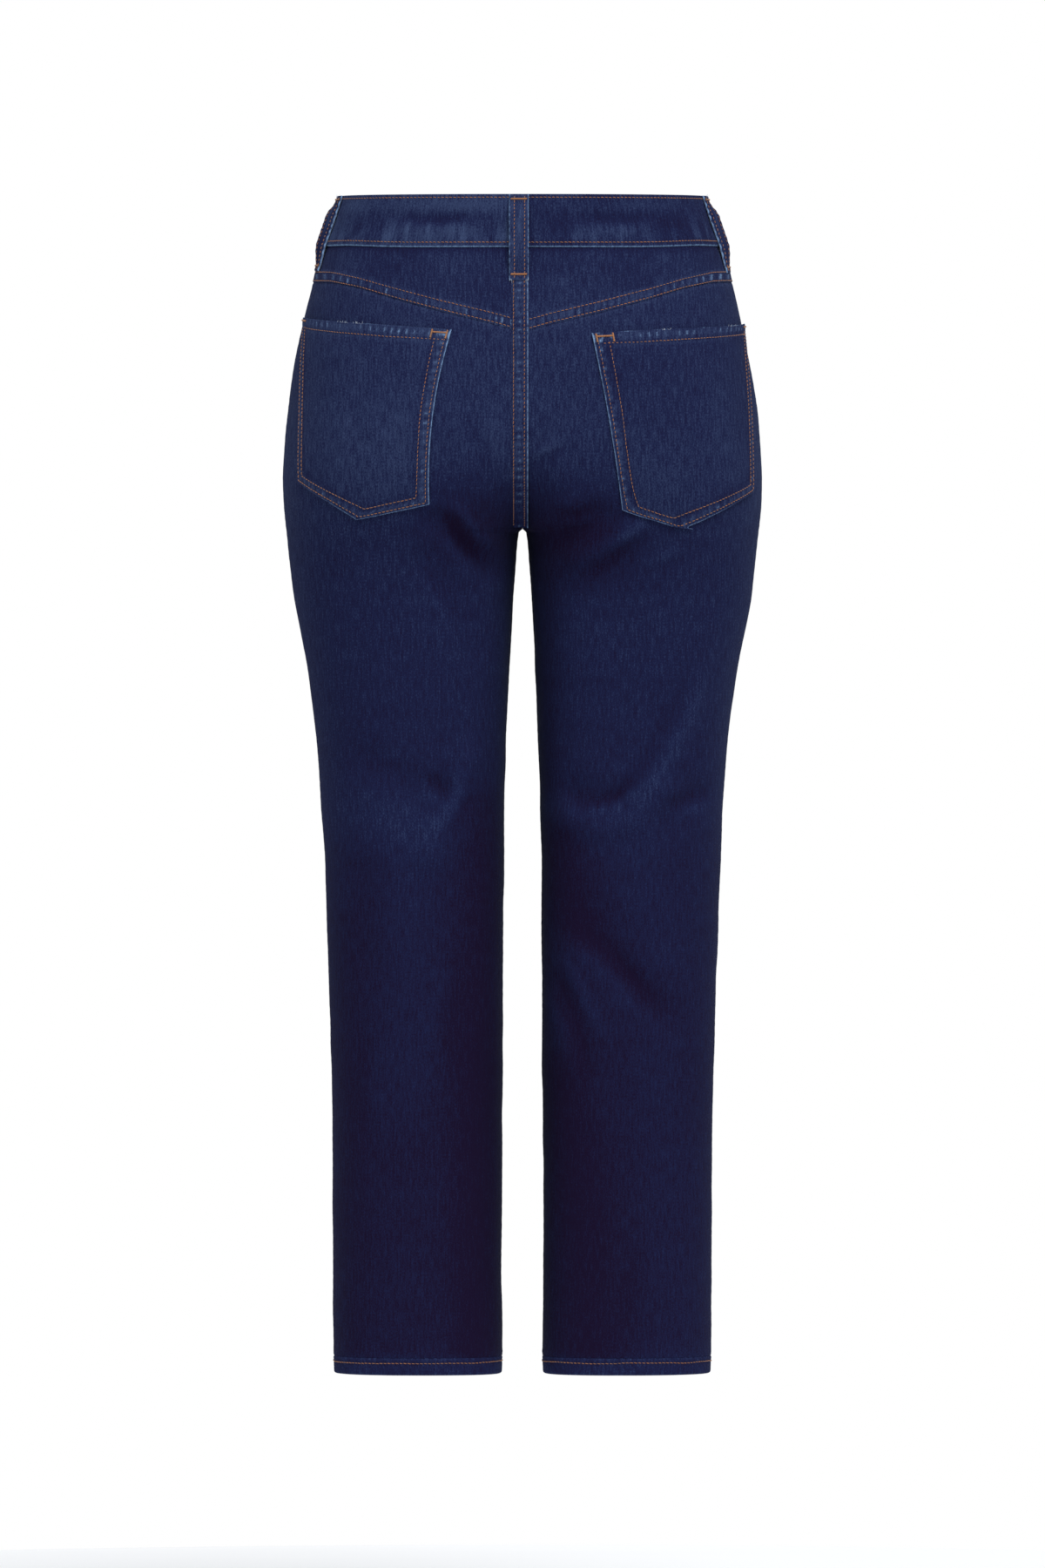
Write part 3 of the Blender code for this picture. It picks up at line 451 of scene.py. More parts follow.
def fold_height(points, side):
    """How far the cloth lies off the smooth surface, and how much of that is sharp enough to wear:
    the solids' folds, a bell across each route; the finer creases, a bell with a shallower one of
    the other sign beside it, times an arch along the route; and a slight unevenness all over."""
    x, y, level = side * points[..., 0], points[..., 1], points[..., 2]
    middle = column("middle", level)
    coarse, fine = np.zeros_like(x), np.zeros_like(x)
    faces = {"back": ramp(y - middle, *FOLD_FACE), "front": ramp(middle - y, *FOLD_FACE)}
    for fold in FOLDS:
        ours = side * fold.route[0][0] >= 0
        away, _, _ = route_offset(x, level, fold.route)
        coarse += fold.height * bump(away, fold.reach) * faces[fold.face] * ours
    for crease in CREASES:
        ours = side * crease.route[0][0] >= 0
        away, left, share = route_offset(x, level, crease.route)
        arch = smooth(share / 0.3) * smooth((1 - share) / 0.4)
        profile = bump(away, crease.reach) - 0.55 * bump(left - 1.7 * crease.reach, crease.reach)
        profile = np.where(away > abs(left) + 0.5, bump(away, crease.reach), profile)
        fine += crease.height * profile * arch * faces[crease.face] * ours
    wave = 0.55 * noise(x / 31 + level / 90, level / 52, 5) + 0.28 * noise(x / 13, level / 19, 6)
    below_band = ramp(-level, 24, 50)
    centre = ramp(np.abs(x), *FOLD_CENTRE)
    return (coarse + fine + wave * below_band) * centre, (0.12 * coarse + fine) * centre


Laid = namedtuple("Laid", "base out height crest u level side")


def lay(distance, level, side, face=None):
    """The cloth at a grid of distances and levels: its points before any lift, the directions out
    of it, which are the cross product of small steps along the section and up the leg, the height
    of its folds, and u, where each point lies across the grain. On a face, u is x at the ridge and
    runs with the cloth from there, and otherwise it is the distance. side may vary."""
    distance, level, side = np.broadcast_arrays(distance, level, side)
    step = 0.6
    here = bare_point(distance, level)
    along = bare_point(distance + step, level) - bare_point(distance - step, level)
    past = distance - fine_ring(level.ravel())[3].reshape(level.shape)
    up = bare_point(past, level + step, True) - bare_point(past, level - step, True)
    out = np.cross(along, up)
    out /= np.linalg.norm(out, axis=-1, keepdims=True)
    height, crest = fold_height(here, side)
    u = distance * side
    if face:
        ridge = column("ridge_" + face, level)
        beyond = distance - distance_at(ridge, level, face)
        u = (ridge + (beyond if face == "front" else -beyond)) * side
    turn = np.stack([side, np.ones_like(side), np.ones_like(side)], axis=-1)
    return Laid(here * turn, out * turn, height, crest, u, level, side)


def lay_across(x, level, face):
    """Like lay, for a grid given by x, which may cross the centre plane."""
    x, level = np.broadcast_arrays(x, level)
    side = np.where(x < 0, -1.0, 1.0)
    return lay(distance_at(x, level, face), level, side, face)


def lay_centre(x, level, face):
    """Like lay_across beside the centre plane, but straight across the groove between the legs: up
    to BRIDGE from the plane, it keeps the depth and the lift direction that the cloth has there."""
    x, level = np.broadcast_arrays(x, level)
    beside = np.where(x < 0, -1.0, 1.0) * np.maximum(np.abs(x), BRIDGE)
    laid = lay_across(beside, level, face)
    flat = np.array([0.0, 1.0, 1.0])
    out = laid.out * flat
    out /= np.linalg.norm(out, axis=-1, keepdims=True)
    base = laid.base * flat + x[..., None] * (1 - flat)
    return laid._replace(base=base, out=out, u=x)


def lift(laid, amount, split=False):
    """Points of the cloth moved out by amount. split keeps them on their side of the centre."""
    moved = laid.base + laid.out * (laid.height + amount)[..., None]
    if split:
        moved[..., 0] = laid.side * np.maximum(laid.side * moved[..., 0], SEAM_HALF_GAP)
    return moved


def spaced(length, step=STEP):
    """Shares of a length: close together at both ends, then a step apart."""
    inner = np.arange(EDGE_STEPS[-1] + step, length - EDGE_STEPS[-1] - step / 2, step)
    return np.concatenate([EDGE_STEPS, inner, length - EDGE_STEPS[::-1]]) / length


def panel_distance(level, face, shares, inset=0.0):
    """Distances of a leg's columns at its grid of levels: share 0 at the side, 1 at the centre.
    Columns up to SPLIT_SHARE end at a line half way across. inset moves the outer edge inwards."""
    flat = level.ravel()
    seam, whole = (values.reshape(level.shape) for values in side_seam(flat))
    split = distance_at(SPLIT_X * column("half_width", level), level, face)
    under = TUCK / 2
    outer, inner = (seam - under, whole) if face == "back" else (seam + under - inset, 0 * seam)
    near = outer + (split - outer) * shares / SPLIT_SHARE
    far = split + (inner - split) * (shares - SPLIT_SHARE) / (1 - SPLIT_SHARE)
    return np.where(shares < SPLIT_SHARE, near, far)


def yoke_level(share):
    """Level of the yoke's lower edge at this share of the half width."""
    return np.interp(share, [s.share for s in YOKE_SEAM], [s.level for s in YOKE_SEAM])


def yoke_edge_at(x):
    """Level of the yoke's lower edge at x."""
    return yoke_level(np.abs(x) / column("half_width", YOKE_WIDTH_LEVEL))


def yoke_edge_over(shares):
    """Level of the yoke's lower edge over a back panel's columns."""
    row = np.full((1, len(shares)), YOKE_WIDTH_LEVEL)
    return yoke_edge_at(bare_point(panel_distance(row, "back", shares), row)[0, :, 0])


def mouth_inset(level):
    """How far the pocket mouth lies in front of the side seam at this level: a quarter ellipse."""
    down = np.clip((BAND_FOOT - level) / MOUTH_DEPTH, 0, 1)
    return MOUTH_INSET * np.sqrt(1 - down**2)


def lap_climb(distance):
    """How far the waistband's upper end climbs over the lower one towards the centre front."""
    return LAP_RISE * ramp(distance, LAP_RISE_START, LAP_RISE_END)


def pucker(along, seed):
    """Uneven ripples down a seam, from -1 to 1: a sine whose phase and depth wander."""
    phase = 2 * math.pi * along / PUCKER_LENGTH + 2.2 * noise(along / 17, 0 * along, seed)
    return np.sin(phase) * (0.65 + 0.35 * noise(along / 9, 0 * along + 3, seed))


# ---------------------------------------------------------------- meshes

def edge_distances(points, closed=False):
    """Distance of each grid point from the grid's first and last column and row, in that order."""
    across = np.linalg.norm(np.diff(points, axis=1), axis=-1)
    down = np.linalg.norm(np.diff(points, axis=0), axis=-1)
    left = np.hstack([0 * points[:, :1, 0], np.cumsum(across, axis=1)])
    top = np.vstack([0 * points[:1, :, 0], np.cumsum(down, axis=0)])
    far = np.full(left.shape, 1e6)
    sides = (far, far) if closed else (left, left[:, -1:] - left)
    return (*sides, top, top[-1:] - top)


def mesh_object(name, points, quads, materials, face_slots=None, uv=None, values=None):
    """An object made of quads, smooth, with an optional UV map and named values at its points. The
    quads are turned over where the volume inside, a sum of triple products, comes out negative."""
    first, second, third, fourth = np.moveaxis(points[quads], 1, 0)
    volume = (first * (np.cross(second, third) + np.cross(third, fourth))).sum()
    if volume < 0:
        quads = quads[:, ::-1]
    mesh = bpy.data.meshes.new(name)
    mesh.from_pydata(points * MM, [], quads)
    if uv is not None:
        layer = mesh.uv_layers.new(name="grain")
        layer.uv.foreach_set("vector", (uv * MM)[quads.ravel()].astype(np.float32).ravel())
    for key, value in (values or {}).items():
        attribute = mesh.attributes.new(key, "FLOAT", "POINT")
        attribute.data.foreach_set("value", value.astype(np.float32).ravel())
    for material in materials:
        mesh.materials.append(material)
    if face_slots is not None:
        mesh.polygons.foreach_set("material_index", face_slots.astype(np.int32))
    mesh.shade_smooth()
    mesh.set_sharp_from_angle(angle=math.radians(50))
    made = bpy.data.objects.new(name, mesh)
    bpy.context.scene.collection.objects.link(made)
    return made


def grid_quads(rows, columns, closed=False):
    """Quads of a grid of points, numbered row by row. closed joins the last column to the first."""
    number = np.arange(rows * columns).reshape(rows, columns)
    if closed:
        number = np.hstack([number, number[:, :1]])
    quads = [number[:-1, :-1], number[:-1, 1:], number[1:, 1:], number[1:, :-1]]
    return np.stack(quads, axis=-1).reshape(-1, 4), number


def shell(name, laid, amount, thickness, wear_and_shading, edge, closed=False, split=False):
    """A wall of cloth round the laid surface lifted by amount, with rounded edges: near an edge,
    half the thickness follows a quarter circle. wear and edge are the values that its denim reads."""
    middle = lift(laid, amount, split)
    near = np.minimum.reduce(edge_distances(middle, closed))
    back = 1 - np.clip(near / (0.6 * np.asarray(thickness)), 0, 1)
    half = 0.5 * thickness * (0.3 + 0.7 * np.sqrt(1 - back**2))
    outer, inner = lift(laid, amount + half, split), lift(laid, amount - half, split)
    rows, columns = near.shape
    quads, number = grid_quads(rows, columns, closed)
    count = rows * columns

    def rim(line):
        return np.stack([line[1:], line[:-1], line[:-1] + count, line[1:] + count], axis=-1)

    rims = [rim(number[0]), rim(number[-1, ::-1])]
    if not closed:
        rims += [rim(number[::-1, 0]), rim(number[:, -1])]
    slots = np.repeat([0, 1, 0], [len(quads), len(quads), sum(map(len, rims))])
    quads = np.concatenate([quads, quads[:, ::-1] + count, *rims])
    points = np.concatenate([outer.reshape(-1, 3), inner.reshape(-1, 3)])
    grain = np.stack([laid.u, laid.level], axis=-1).reshape(-1, 2)
    # The crests tint the tone, lighter on ridges and darker in troughs: partly worn ridges, partly
    # painted highlight and painted shade.
    values = {key: np.tile(np.broadcast_to(value, near.shape).ravel(), 2)
              for key, value in (("wear_and_shading", wear_and_shading + 0.19 * laid.crest), ("edge", edge))}
    made = mesh_object(name, points, quads, [denim_face(), denim_wrong_side()], slots,
                       np.tile(grain, (2, 1)), values)
    return made, outer


def declare(made, outer, nodes, closed=False):
    """Rides, replaces, slot and sheet for one piece of cloth. Its cut is its own size laid flat:
    the longest row and column of the grid, and the sum of the grid's areas."""
    if closed:
        outer = np.concatenate([outer, outer[:, :1]], axis=1)
    one, two = outer[1:, 1:] - outer[:-1, :-1], outer[1:, :-1] - outer[:-1, 1:]
    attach(made, BODY)
    if nodes:
        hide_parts(*nodes)


# ---------------------------------------------------------------- threads

class Threads:
    """Collects stitches and loose ends, and makes them one mesh."""

    SIDES = 4

    def __init__(self, seed, context):
        settings = context.scene.jeans_thread
        self.pitch, self.width = settings.stitch_length / MM, settings.thread_width / MM
        self.random = np.random.default_rng(seed)
        self.points, self.quads, self.grain, self.count = [], [], [], 0

    def add_tubes(self, centre, normal, radius):
        """Tubes along centre, tubes x rings x 3, whose rings lie across it: a ring's points are the
        centre plus the radius times cosine and sine of its turn along two directions across."""
        tangent = np.gradient(centre, axis=1)
        tangent /= np.linalg.norm(tangent, axis=-1, keepdims=True) + 1e-12
        across = np.cross(tangent, normal)
        across /= np.linalg.norm(across, axis=-1, keepdims=True) + 1e-12
        up = np.cross(across, tangent)
        turn = (np.arange(self.SIDES) + 0.5) * 2 * math.pi / self.SIDES
        ring = (across[:, :, None] * np.cos(turn)[None, None, :, None]
                + up[:, :, None] * np.sin(turn)[None, None, :, None])
        tubes, rings = centre.shape[:2]
        points = centre[:, :, None] + ring * np.broadcast_to(radius, (tubes, rings))[..., None, None]
        one, _ = grid_quads(rings, self.SIDES, closed=True)
        ends = np.array([[3, 2, 1, 0], [0, 1, 2, 3]]) + np.array([[0], [(rings - 1) * self.SIDES]])
        one = np.concatenate([one, ends])
        start = self.count + np.arange(tubes)[:, None, None] * rings * self.SIDES
        steps = np.linalg.norm(np.diff(centre, axis=1), axis=-1)
        along = np.hstack([np.zeros((tubes, 1)), np.cumsum(steps, axis=1)])
        grain = np.stack(np.broadcast_arrays(along[:, :, None], turn[None, None, :]), axis=-1)
        self.points.append(points.reshape(-1, 3))
        self.quads.append((one[None] + start).reshape(-1, 4))
        self.grain.append(grain.reshape(-1, 2))
        self.count += tubes * rings * self.SIDES

    def add_row(self, path, normal):
        """Stitches along one line on the cloth. Each is an arch that dips in at both ends, a little
        slanted, with lengths and places that vary slightly."""
        width = self.width
        length = np.concatenate([[0], np.cumsum(np.linalg.norm(np.diff(path, axis=0), axis=1))])
        count = max(1, round(length[-1] / self.pitch))
        middle = (np.arange(count) + 0.5) * length[-1] / count
        t = np.linspace(-0.5, 0.5, 4)[None, :]
        stretch = 0.80 * length[-1] / count * self.random.uniform(0.9, 1.08, (count, 1))
        at = middle[:, None] + t * stretch
        centre, out = (np.stack([np.interp(at, length, values[:, i]) for i in range(3)], axis=-1)
                       for values in (path, normal))
        tangent = np.gradient(path, axis=0)
        across = np.cross(tangent, normal)
        across /= np.linalg.norm(across, axis=1, keepdims=True) + 1e-12
        sideways = np.stack([np.interp(at, length, across[:, i]) for i in range(3)], axis=-1)
        slant = 0.5 * t + self.random.normal(0, 0.07, (count, 1))
        arch = np.array([-0.55, 0.55, 0.55, -0.55])[None, :] * width
        centre = centre + out * arch[..., None] + sideways * (slant * width)[..., None]
        self.add_tubes(centre, out, width / 2 * np.array([0.6, 1.0, 1.0, 0.6])[None, :])

    def add_line(self, laid, amount):
        """Stitches along laid cloth that is one row of points, lifted by amount."""
        self.add_row(lift(laid, amount).reshape(-1, 3), laid.out.reshape(-1, 3))

    def add_tacks(self, laid, amount, wide):
        """A bar tack along each row of laid cloth that has two columns, lifted by amount."""
        for (start, end), out in zip(lift(laid, amount), laid.out):
            self.add_tack(start, end, out[0], wide)

    def add_tack(self, start, end, normal, wide):
        """A bar tack: short threads side by side from start to end, each across the bar."""
        width = self.width
        run = end - start
        length = np.linalg.norm(run)
        across = np.cross(normal, run / length)
        count = max(4, round(length / (0.72 * width)))
        place = start + run * ((np.arange(count) + 0.5) / count)[:, None]
        t = np.linspace(-0.5, 0.5, 4)
        reach = wide * self.random.uniform(0.88, 1.1, (count, 1))
        arch = np.array([-0.5, 0.75, 0.75, -0.5]) * width
        centre = (place[:, None] + across * (t * reach)[..., None]
                  + (run / length) * (t * 0.5)[None, :, None] + normal * arch[None, :, None])
        out = np.broadcast_to(normal, centre.shape)
        self.add_tubes(centre, out, width / 2 * np.array([0.7, 1.05, 1.05, 0.7])[None, :])

    def add_fray(self, roots, normal, direction, length, width=0.22):
        """Loose cotton ends: each curls from its root along direction and out along the normal."""
        count = len(roots)
        t = np.linspace(0, 1, 5)[None, :, None]
        reach = length * self.random.uniform(0.5, 1.25, (count, 1, 1))
        curl = self.random.normal(0, 0.55, (count, 1, 3))
        centre = (roots[:, None] + direction * t * reach + curl * t**2 * reach * 0.7
                  + normal * (0.25 + 0.5 * np.sin(2.4 * t)))
        out = np.broadcast_to(normal + 0.01, centre.shape)
        self.add_tubes(centre, out, width / 2 * np.array([1, 1, 0.9, 0.75, 0.45])[None, :])

    def make(self, name, material):
        """The collected tubes as one piece that rides on the body."""
        points, quads, grain = map(np.concatenate, (self.points, self.quads, self.grain))
        made = mesh_object(name, points, quads, [material], uv=grain)
        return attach(made, BODY)


# ---------------------------------------------------------------- materials

class Value:
    """A number in a material. Python's arithmetic on it adds Math nodes."""

    def __init__(self, finish, socket):
        self.finish, self.socket = finish, socket

    def __add__(self, other):
        return self.finish.math("ADD", self, other)

    def __sub__(self, other):
        return self.finish.math("SUBTRACT", self, other)

    def __rsub__(self, other):
        return self.finish.math("SUBTRACT", other, self)

    def __mul__(self, other):
        return self.finish.math("MULTIPLY", self, other)

    def above(self, low, high):
        """0 at low, 1 at high and straight between."""
        return self.finish.math("MULTIPLY", self - low, 1 / (high - low), use_clamp=True)

    __radd__, __rmul__ = __add__, __mul__


class Finish:
    """One material: its nodes are added by node, and joined by the expressions on Value."""

    def __init__(self, name, **constants):
        self.material = bpy.data.materials.new(name)
        self.material.use_nodes = True
        self.tree = self.material.node_tree
        self.shader = self.tree.nodes["Principled BSDF"]
        self.ends(**constants)

    def put(self, socket, value):
        """Links a value, or sets it."""
        if isinstance(value, Value):
            value = value.socket
        if isinstance(value, bpy.types.NodeSocket):
            self.tree.links.new(value, socket)
        elif isinstance(value, (tuple, list)) and socket.type == "RGBA" and len(value) == 3:
            socket.default_value = (*value, 1.0)
        else:
            socket.default_value = value

    def node(self, kind, settings=None, inputs=None):
        """A node of this kind, with its settings made first and then its sockets."""
        made = self.tree.nodes.new("ShaderNode" + kind)
        for key, value in (settings or {}).items():
            setattr(made, key, value)
        for key, value in (inputs or {}).items():
            self.put(made.inputs[key], value)
        return made

    def math(self, operation, *values, use_clamp=False):
        settings = {"operation": operation, "use_clamp": use_clamp}
        return Value(self, self.node("Math", settings, dict(enumerate(values))).outputs[0])

    def mix(self, share, first, second):
        """A colour between two."""
        made = self.node("Mix", {"data_type": "RGBA"}, {0: share, 6: first, 7: second})
        return made.outputs[2]

    def attribute(self, name):
        return Value(self, self.node("Attribute", {"attribute_name": name}).outputs["Fac"])

    def grain(self, across, along):
        """The piece's own grain, u and v, scaled so that 1 is one step of a pattern."""
        uv = self.node("UVMap", {"uv_map": "grain"}).outputs[0]
        return self.node("VectorMath", {"operation": "MULTIPLY"},
                         {0: uv, 1: (across, along, 1.0)}).outputs[0]

    def noise(self, vector, scale=1.0, detail=2.0, rough=0.5):
        made = self.node("TexNoise", None, {"Vector": vector, "Scale": scale, "Detail": detail,
                                            "Roughness": rough})
        return Value(self, made.outputs[0])

    def wave(self, vector, distortion, detail=2.0, direction="DIAGONAL", profile="SIN"):
        """Bands across the vector."""
        made = self.node("TexWave", {"bands_direction": direction, "wave_profile": profile},
                         {"Vector": vector, "Scale": 1.0, "Distortion": distortion, "Detail": detail})
        return Value(self, made.outputs[0])

    def objects(self):
        return self.node("TexCoord").outputs["Object"]

    def bump(self, height, depth, strength):
        inputs = {"Height": height, "Distance": depth, "Strength": strength}
        return self.node("Bump", None, inputs).outputs[0]

    def ends(self, **sockets):
        """Joins the shader's own sockets and gives the material."""
        for key, value in sockets.items():
            label = key.replace("_", " ").title().replace("Ior", "IOR")
            self.put(self.shader.inputs[label], value)
        return self.material


def made_once(build):
    """Keeps one material for each of these functions."""
    def get():
        name = build.__name__
        return bpy.data.materials.get(name) or build(name)
    return get


@made_once
def denim_face(name):
    """Indigo denim. Its tone is the piece's wear plus warp streaks, slubs, white specks of weft and
    soft blotches, all along the grain; abraded seam edges follow the piece's edge values. The twill
    is a slanted wave with the yarns' own unevenness."""
    settings = bpy.context.scene.jeans_denim
    f = Finish(name, roughness=0.9, sheen_weight=0.02, sheen_roughness=0.45,
               sheen_tint=(0.45, 0.6, 1.0), specular_ior_level=0.03)
    streak = f.noise(f.grain(640.0, 90.0), detail=3.0)
    slub = f.noise(f.grain(330.0, 14.0), detail=2.0)
    speck = f.noise(f.grain(1300.0, 620.0), detail=3.0, rough=0.65)
    blotch = f.noise(f.objects(), scale=26.0, detail=3.0)
    # The first value holds fading together with painted shade and painted light.
    wear_and_shading, edge = f.attribute("wear_and_shading"), f.attribute("edge")
    tone = (wear_and_shading + 0.75 * edge + 1.4 * (streak - 0.5) + 0.25 * (slub - 0.5)
            + 2.3 * (speck - 0.5) + 0.2 * (blotch - 0.5))
    low = f.mix(tone.above(-0.45, 0.5), tuple(settings.deep), tuple(settings.indigo))
    body = f.mix(tone.above(0.45, 1.6), low, tuple(settings.faded))
    rubbed = (edge + 0.9 * (speck - 0.5) + 0.5 * (streak - 0.5)).above(0.55, 1.2)
    colour = f.mix(rubbed * 0.85, body, tuple(settings.abraded))
    relief = f.wave(f.grain(620.0, 620.0), 1.2, detail=1.0) * 0.6 + streak * 0.9 + speck * 0.6
    return f.ends(base_color=colour, roughness=0.94 - 0.1 * tone.above(0.0, 1.0),
                  normal=f.bump(relief, 0.00022, 0.75))


@made_once
def denim_wrong_side(name):
    """The inside of the denim, where the pale weft shows: grey blue with darker warp flecks."""
    f = Finish(name, roughness=0.92, specular_ior_level=0.2)
    fleck = f.noise(f.grain(1400.0, 500.0), detail=2.0)
    streak = f.noise(f.grain(500.0, 40.0), detail=2.0)
    tone = (fleck + 0.5 * streak).above(0.5, 1.0)
    relief = f.wave(f.grain(-620.0, 620.0), 1.2) + fleck
    return f.ends(base_color=f.mix(tone, (0.06, 0.075, 0.13), (0.30, 0.33, 0.40)),
                  normal=f.bump(relief, 0.0002, 0.7))


@made_once
def orange_thread(name):
    """Twisted topstitching thread, orange brown, dulled in places by indigo."""
    settings = bpy.context.scene.jeans_thread
    f = Finish(name, roughness=0.62, sheen_weight=0.2)
    twist = f.wave(f.grain(1800.0, 500.0), 0.4)
    dull = f.noise(f.objects(), scale=95.0, detail=3.0).above(0.42, 0.72)
    colour = f.mix(dull * 0.75, tuple(settings.colour), tuple(settings.dulled))
    # Painted shade: the grooves between the twists are darker brown.
    return f.ends(base_color=f.mix(0.35 * (1 - twist), colour, (0.16, 0.05, 0.02)),
                  normal=f.bump(twist, 0.0001, 0.8))


@made_once
def loose_cotton(name):
    """White weft ends with a blue cast."""
    f = Finish(name, roughness=0.85, sheen_weight=0.3)
    tone = f.noise(f.objects(), scale=420.0).above(0.35, 0.65)
    return f.ends(base_color=f.mix(tone, (0.34, 0.42, 0.56), (0.72, 0.77, 0.84)))


@made_once
def aged_brass(name):
    """Antique brass: brown in the hollows, brighter where it is rubbed."""
    f = Finish(name, metallic=1.0)
    patch = f.noise(f.objects(), scale=700.0, detail=4.0)
    rubbed = patch.above(0.38, 0.66)
    return f.ends(base_color=f.mix(rubbed, (0.20, 0.105, 0.05), (0.56, 0.36, 0.19)),
                  roughness=0.5 - 0.2 * rubbed, normal=f.bump(patch, 0.0001, 0.4))


@made_once
def zip_tape_cloth(name):
    """Navy zip tape in a fine herringbone."""
    f = Finish(name, roughness=0.85)
    rib = f.wave(f.grain(900.0, 900.0), 2.0, direction="Y", profile="TRI")
    return f.ends(base_color=f.mix(rib, (0.012, 0.014, 0.03), (0.03, 0.034, 0.06)),
                  normal=f.bump(rib, 0.0002, 0.8))


@made_once
def pale_floor(name):
    """Matt off-white, very slightly uneven."""
    f = Finish(name, roughness=0.9, specular_ior_level=0.1)
    soft = f.noise(f.objects(), scale=3.0, detail=2.0)
    return f.ends(base_color=f.mix(soft, (0.90, 0.90, 0.90), (0.93, 0.93, 0.93)))


# ---------------------------------------------------------------- pieces

def leg_wear_and_shading(laid, face):
    """How faded a leg is: a curve down its levels, a front thigh that is lighter at its middle, a
    lighter outer edge below the seat, and a bell across the route of each of its SHADES."""
    level, across = laid.level, np.abs(laid.base[..., 0]) / column("half_width", laid.level)
    tone = np.interp(level, [f.level for f in LEG_FADES_AND_SHADING], [f.tone for f in LEG_FADES_AND_SHADING])
    if face == "front":
        tone = tone + 0.22 * bump(level + 330, 130) * bump(across - 0.5, 0.34)
    # Painted highlight: lighter along the outer edge below the seat.
    tone = tone + 0.12 * ramp(across, 0.8, 1.0) * (1 - ramp(level, -200, -120))
    # Painted shade and painted light along the routes of SHADES.
    for shade in SHADES:
        on_leg = (laid.side * shade.route[0][0] > 0) & (shade.face == face)
        away = route_offset(laid.base[..., 0], level, shade.route)[0]
        tone = tone + shade.tone * bump(away, shade.reach) * on_leg
    return tone


def seam_lines(laid, distances, seeds):
    """Rubbed lines and ridges at a leg's side and inner seams, from the distance to each: the
    turnings inside lift the cloth for a few millimetres, and it wears along that step."""
    rise, worn = np.zeros(laid.level.shape), np.zeros(laid.level.shape)
    for away, seed in zip(distances, seeds):
        ripple = pucker(laid.level * 0.8 + 40 * seed, seed)
        rise += 0.45 * (1 - ramp(away, 6.5, 9.5)) - 0.55 * bump(away, 1.0)
        rise += 0.10 * ripple * bump(away - 4, 4)
        worn += (0.30 + 0.22 * ripple) * bump(away - 7.0, 1.6) + 0.34 * bump(away - 1.5, 1.3)
    return rise, worn


def leg_rows(top):
    """Levels of a leg's rows from its hem up to top."""
    low, high = CLOSE_ROWS
    return np.concatenate([np.arange(HEM_TOP, low, STEP), np.arange(low, high, CLOSE_STEP),
                           np.arange(high, top, STEP)])


def leg_relief(laid, from_side, from_inner):
    """Height and rubbing of a leg along its two seams and, in slanted ripples, above its hem."""
    inseam = np.where(laid.level < CROTCH, from_inner, FAR)
    rise, worn = seam_lines(laid, (from_side, inseam), SEAM_SEEDS)
    above_hem = laid.level - HEM_TOP
    roping = pucker(laid.u + 0.8 * above_hem, 15)
    rise += (0.35 + 0.25 * roping) * bump(above_hem, 4.5)
    worn += (0.34 + 0.16 * roping) * bump(above_hem - 1.0, 2.2)
    return rise, worn


def make_leg(name, face, laid, rise, worn):
    made, outer = shell(f"denim_{face}_{name}", laid, rise - CLOTH / 2, CLOTH,
                        leg_wear_and_shading(laid, face), worn, split=True)
    declare(made, outer, [f"{face}_{name}"])


def build_back_legs(context):
    """The back legs: level rows from the hem to UPPER_FOOT, and from there rows that close up to
    the yoke's seam in equal shares. The cloth dips and puckers under that seam."""
    across = spaced(LEG_WIDTH)
    level = np.append(leg_rows(UPPER_FOOT), UPPER_FOOT)[:, None] + 0 * across
    top = yoke_edge_over(across) + TUCK
    upper = UPPER_FOOT + (top - UPPER_FOOT) * spaced(UPPER_HEIGHT)[1:, None]
    level = np.vstack([level, upper])
    distance = panel_distance(level, "back", across)
    for name, side in SIDES:
        laid = lay(distance, level, side, "back")
        left, right, _, under_yoke = edge_distances(laid.base)
        rise, worn = leg_relief(laid, left, right)
        ripple = pucker(laid.u, 13 if side > 0 else 14)
        rise += -0.5 * bump(under_yoke, 2.0) + 0.22 * ripple * bump(under_yoke - 3, 5)
        worn += 0.35 * bump(under_yoke - 2.5, 2.0) * (0.6 + 0.4 * ripple)
        make_leg(name, "back", laid, rise, worn)


def build_front_legs(context):
    """The front legs: level rows whose outer end follows the pocket mouth's quarter ellipse, where
    the turned lip is thicker and rubbed white."""
    turn = np.linspace(0, 1, 42) * math.pi / 2
    mouth = BAND_FOOT - MOUTH_DEPTH * np.cos(turn)
    rows = np.concatenate([leg_rows(mouth[0] - 1), mouth, [BAND_FOOT + TUCK]])
    across = spaced(LEG_WIDTH)
    level = rows[:, None] + 0 * across
    distance = panel_distance(level, "front", across, mouth_inset(level))
    in_mouth = level > mouth[0]
    for name, side in SIDES:
        laid = lay(distance, level, side, "front")
        left, right, _, _ = edge_distances(laid.base)
        rise, worn = leg_relief(laid, np.where(in_mouth, FAR, left), right)
        ripple = pucker(laid.level + laid.u, 17)
        lip = np.where(in_mouth, left, FAR)
        rise += 0.35 * (1 - ramp(lip, 8.5, 11.0)) + 0.12 * ripple * bump(lip - 4.5, 4)
        worn += (0.75 + 0.25 * ripple) * bump(lip, 1.6) + 0.2 * bump(lip - 10, 1.2)
        make_leg(name, "front", laid, rise, worn)


def yoke_relief(x, level):
    """Height of the lapped seam along the yoke's lower edge at a point of the back: a step with
    puckers between its two stitch rows and a groove at each. Also the height above that edge,
    and the puckers."""
    above = level - yoke_edge_at(x)
    ripple = pucker(np.abs(x) * 1.04, 21)
    puckers = 0.26 * ripple * plateau(above, 1.2, 2.6, 6.8, 8.2)
    step = FELL_RISE * (1 - ramp(above, FELL_WIDTH - 1.2, FELL_WIDTH + 1.2)) * (above > -0.2)
    grooves = sum(bump(above - row, 0.9) for row in FELL_ROWS)
    return step + puckers - 0.3 * grooves, above, ripple


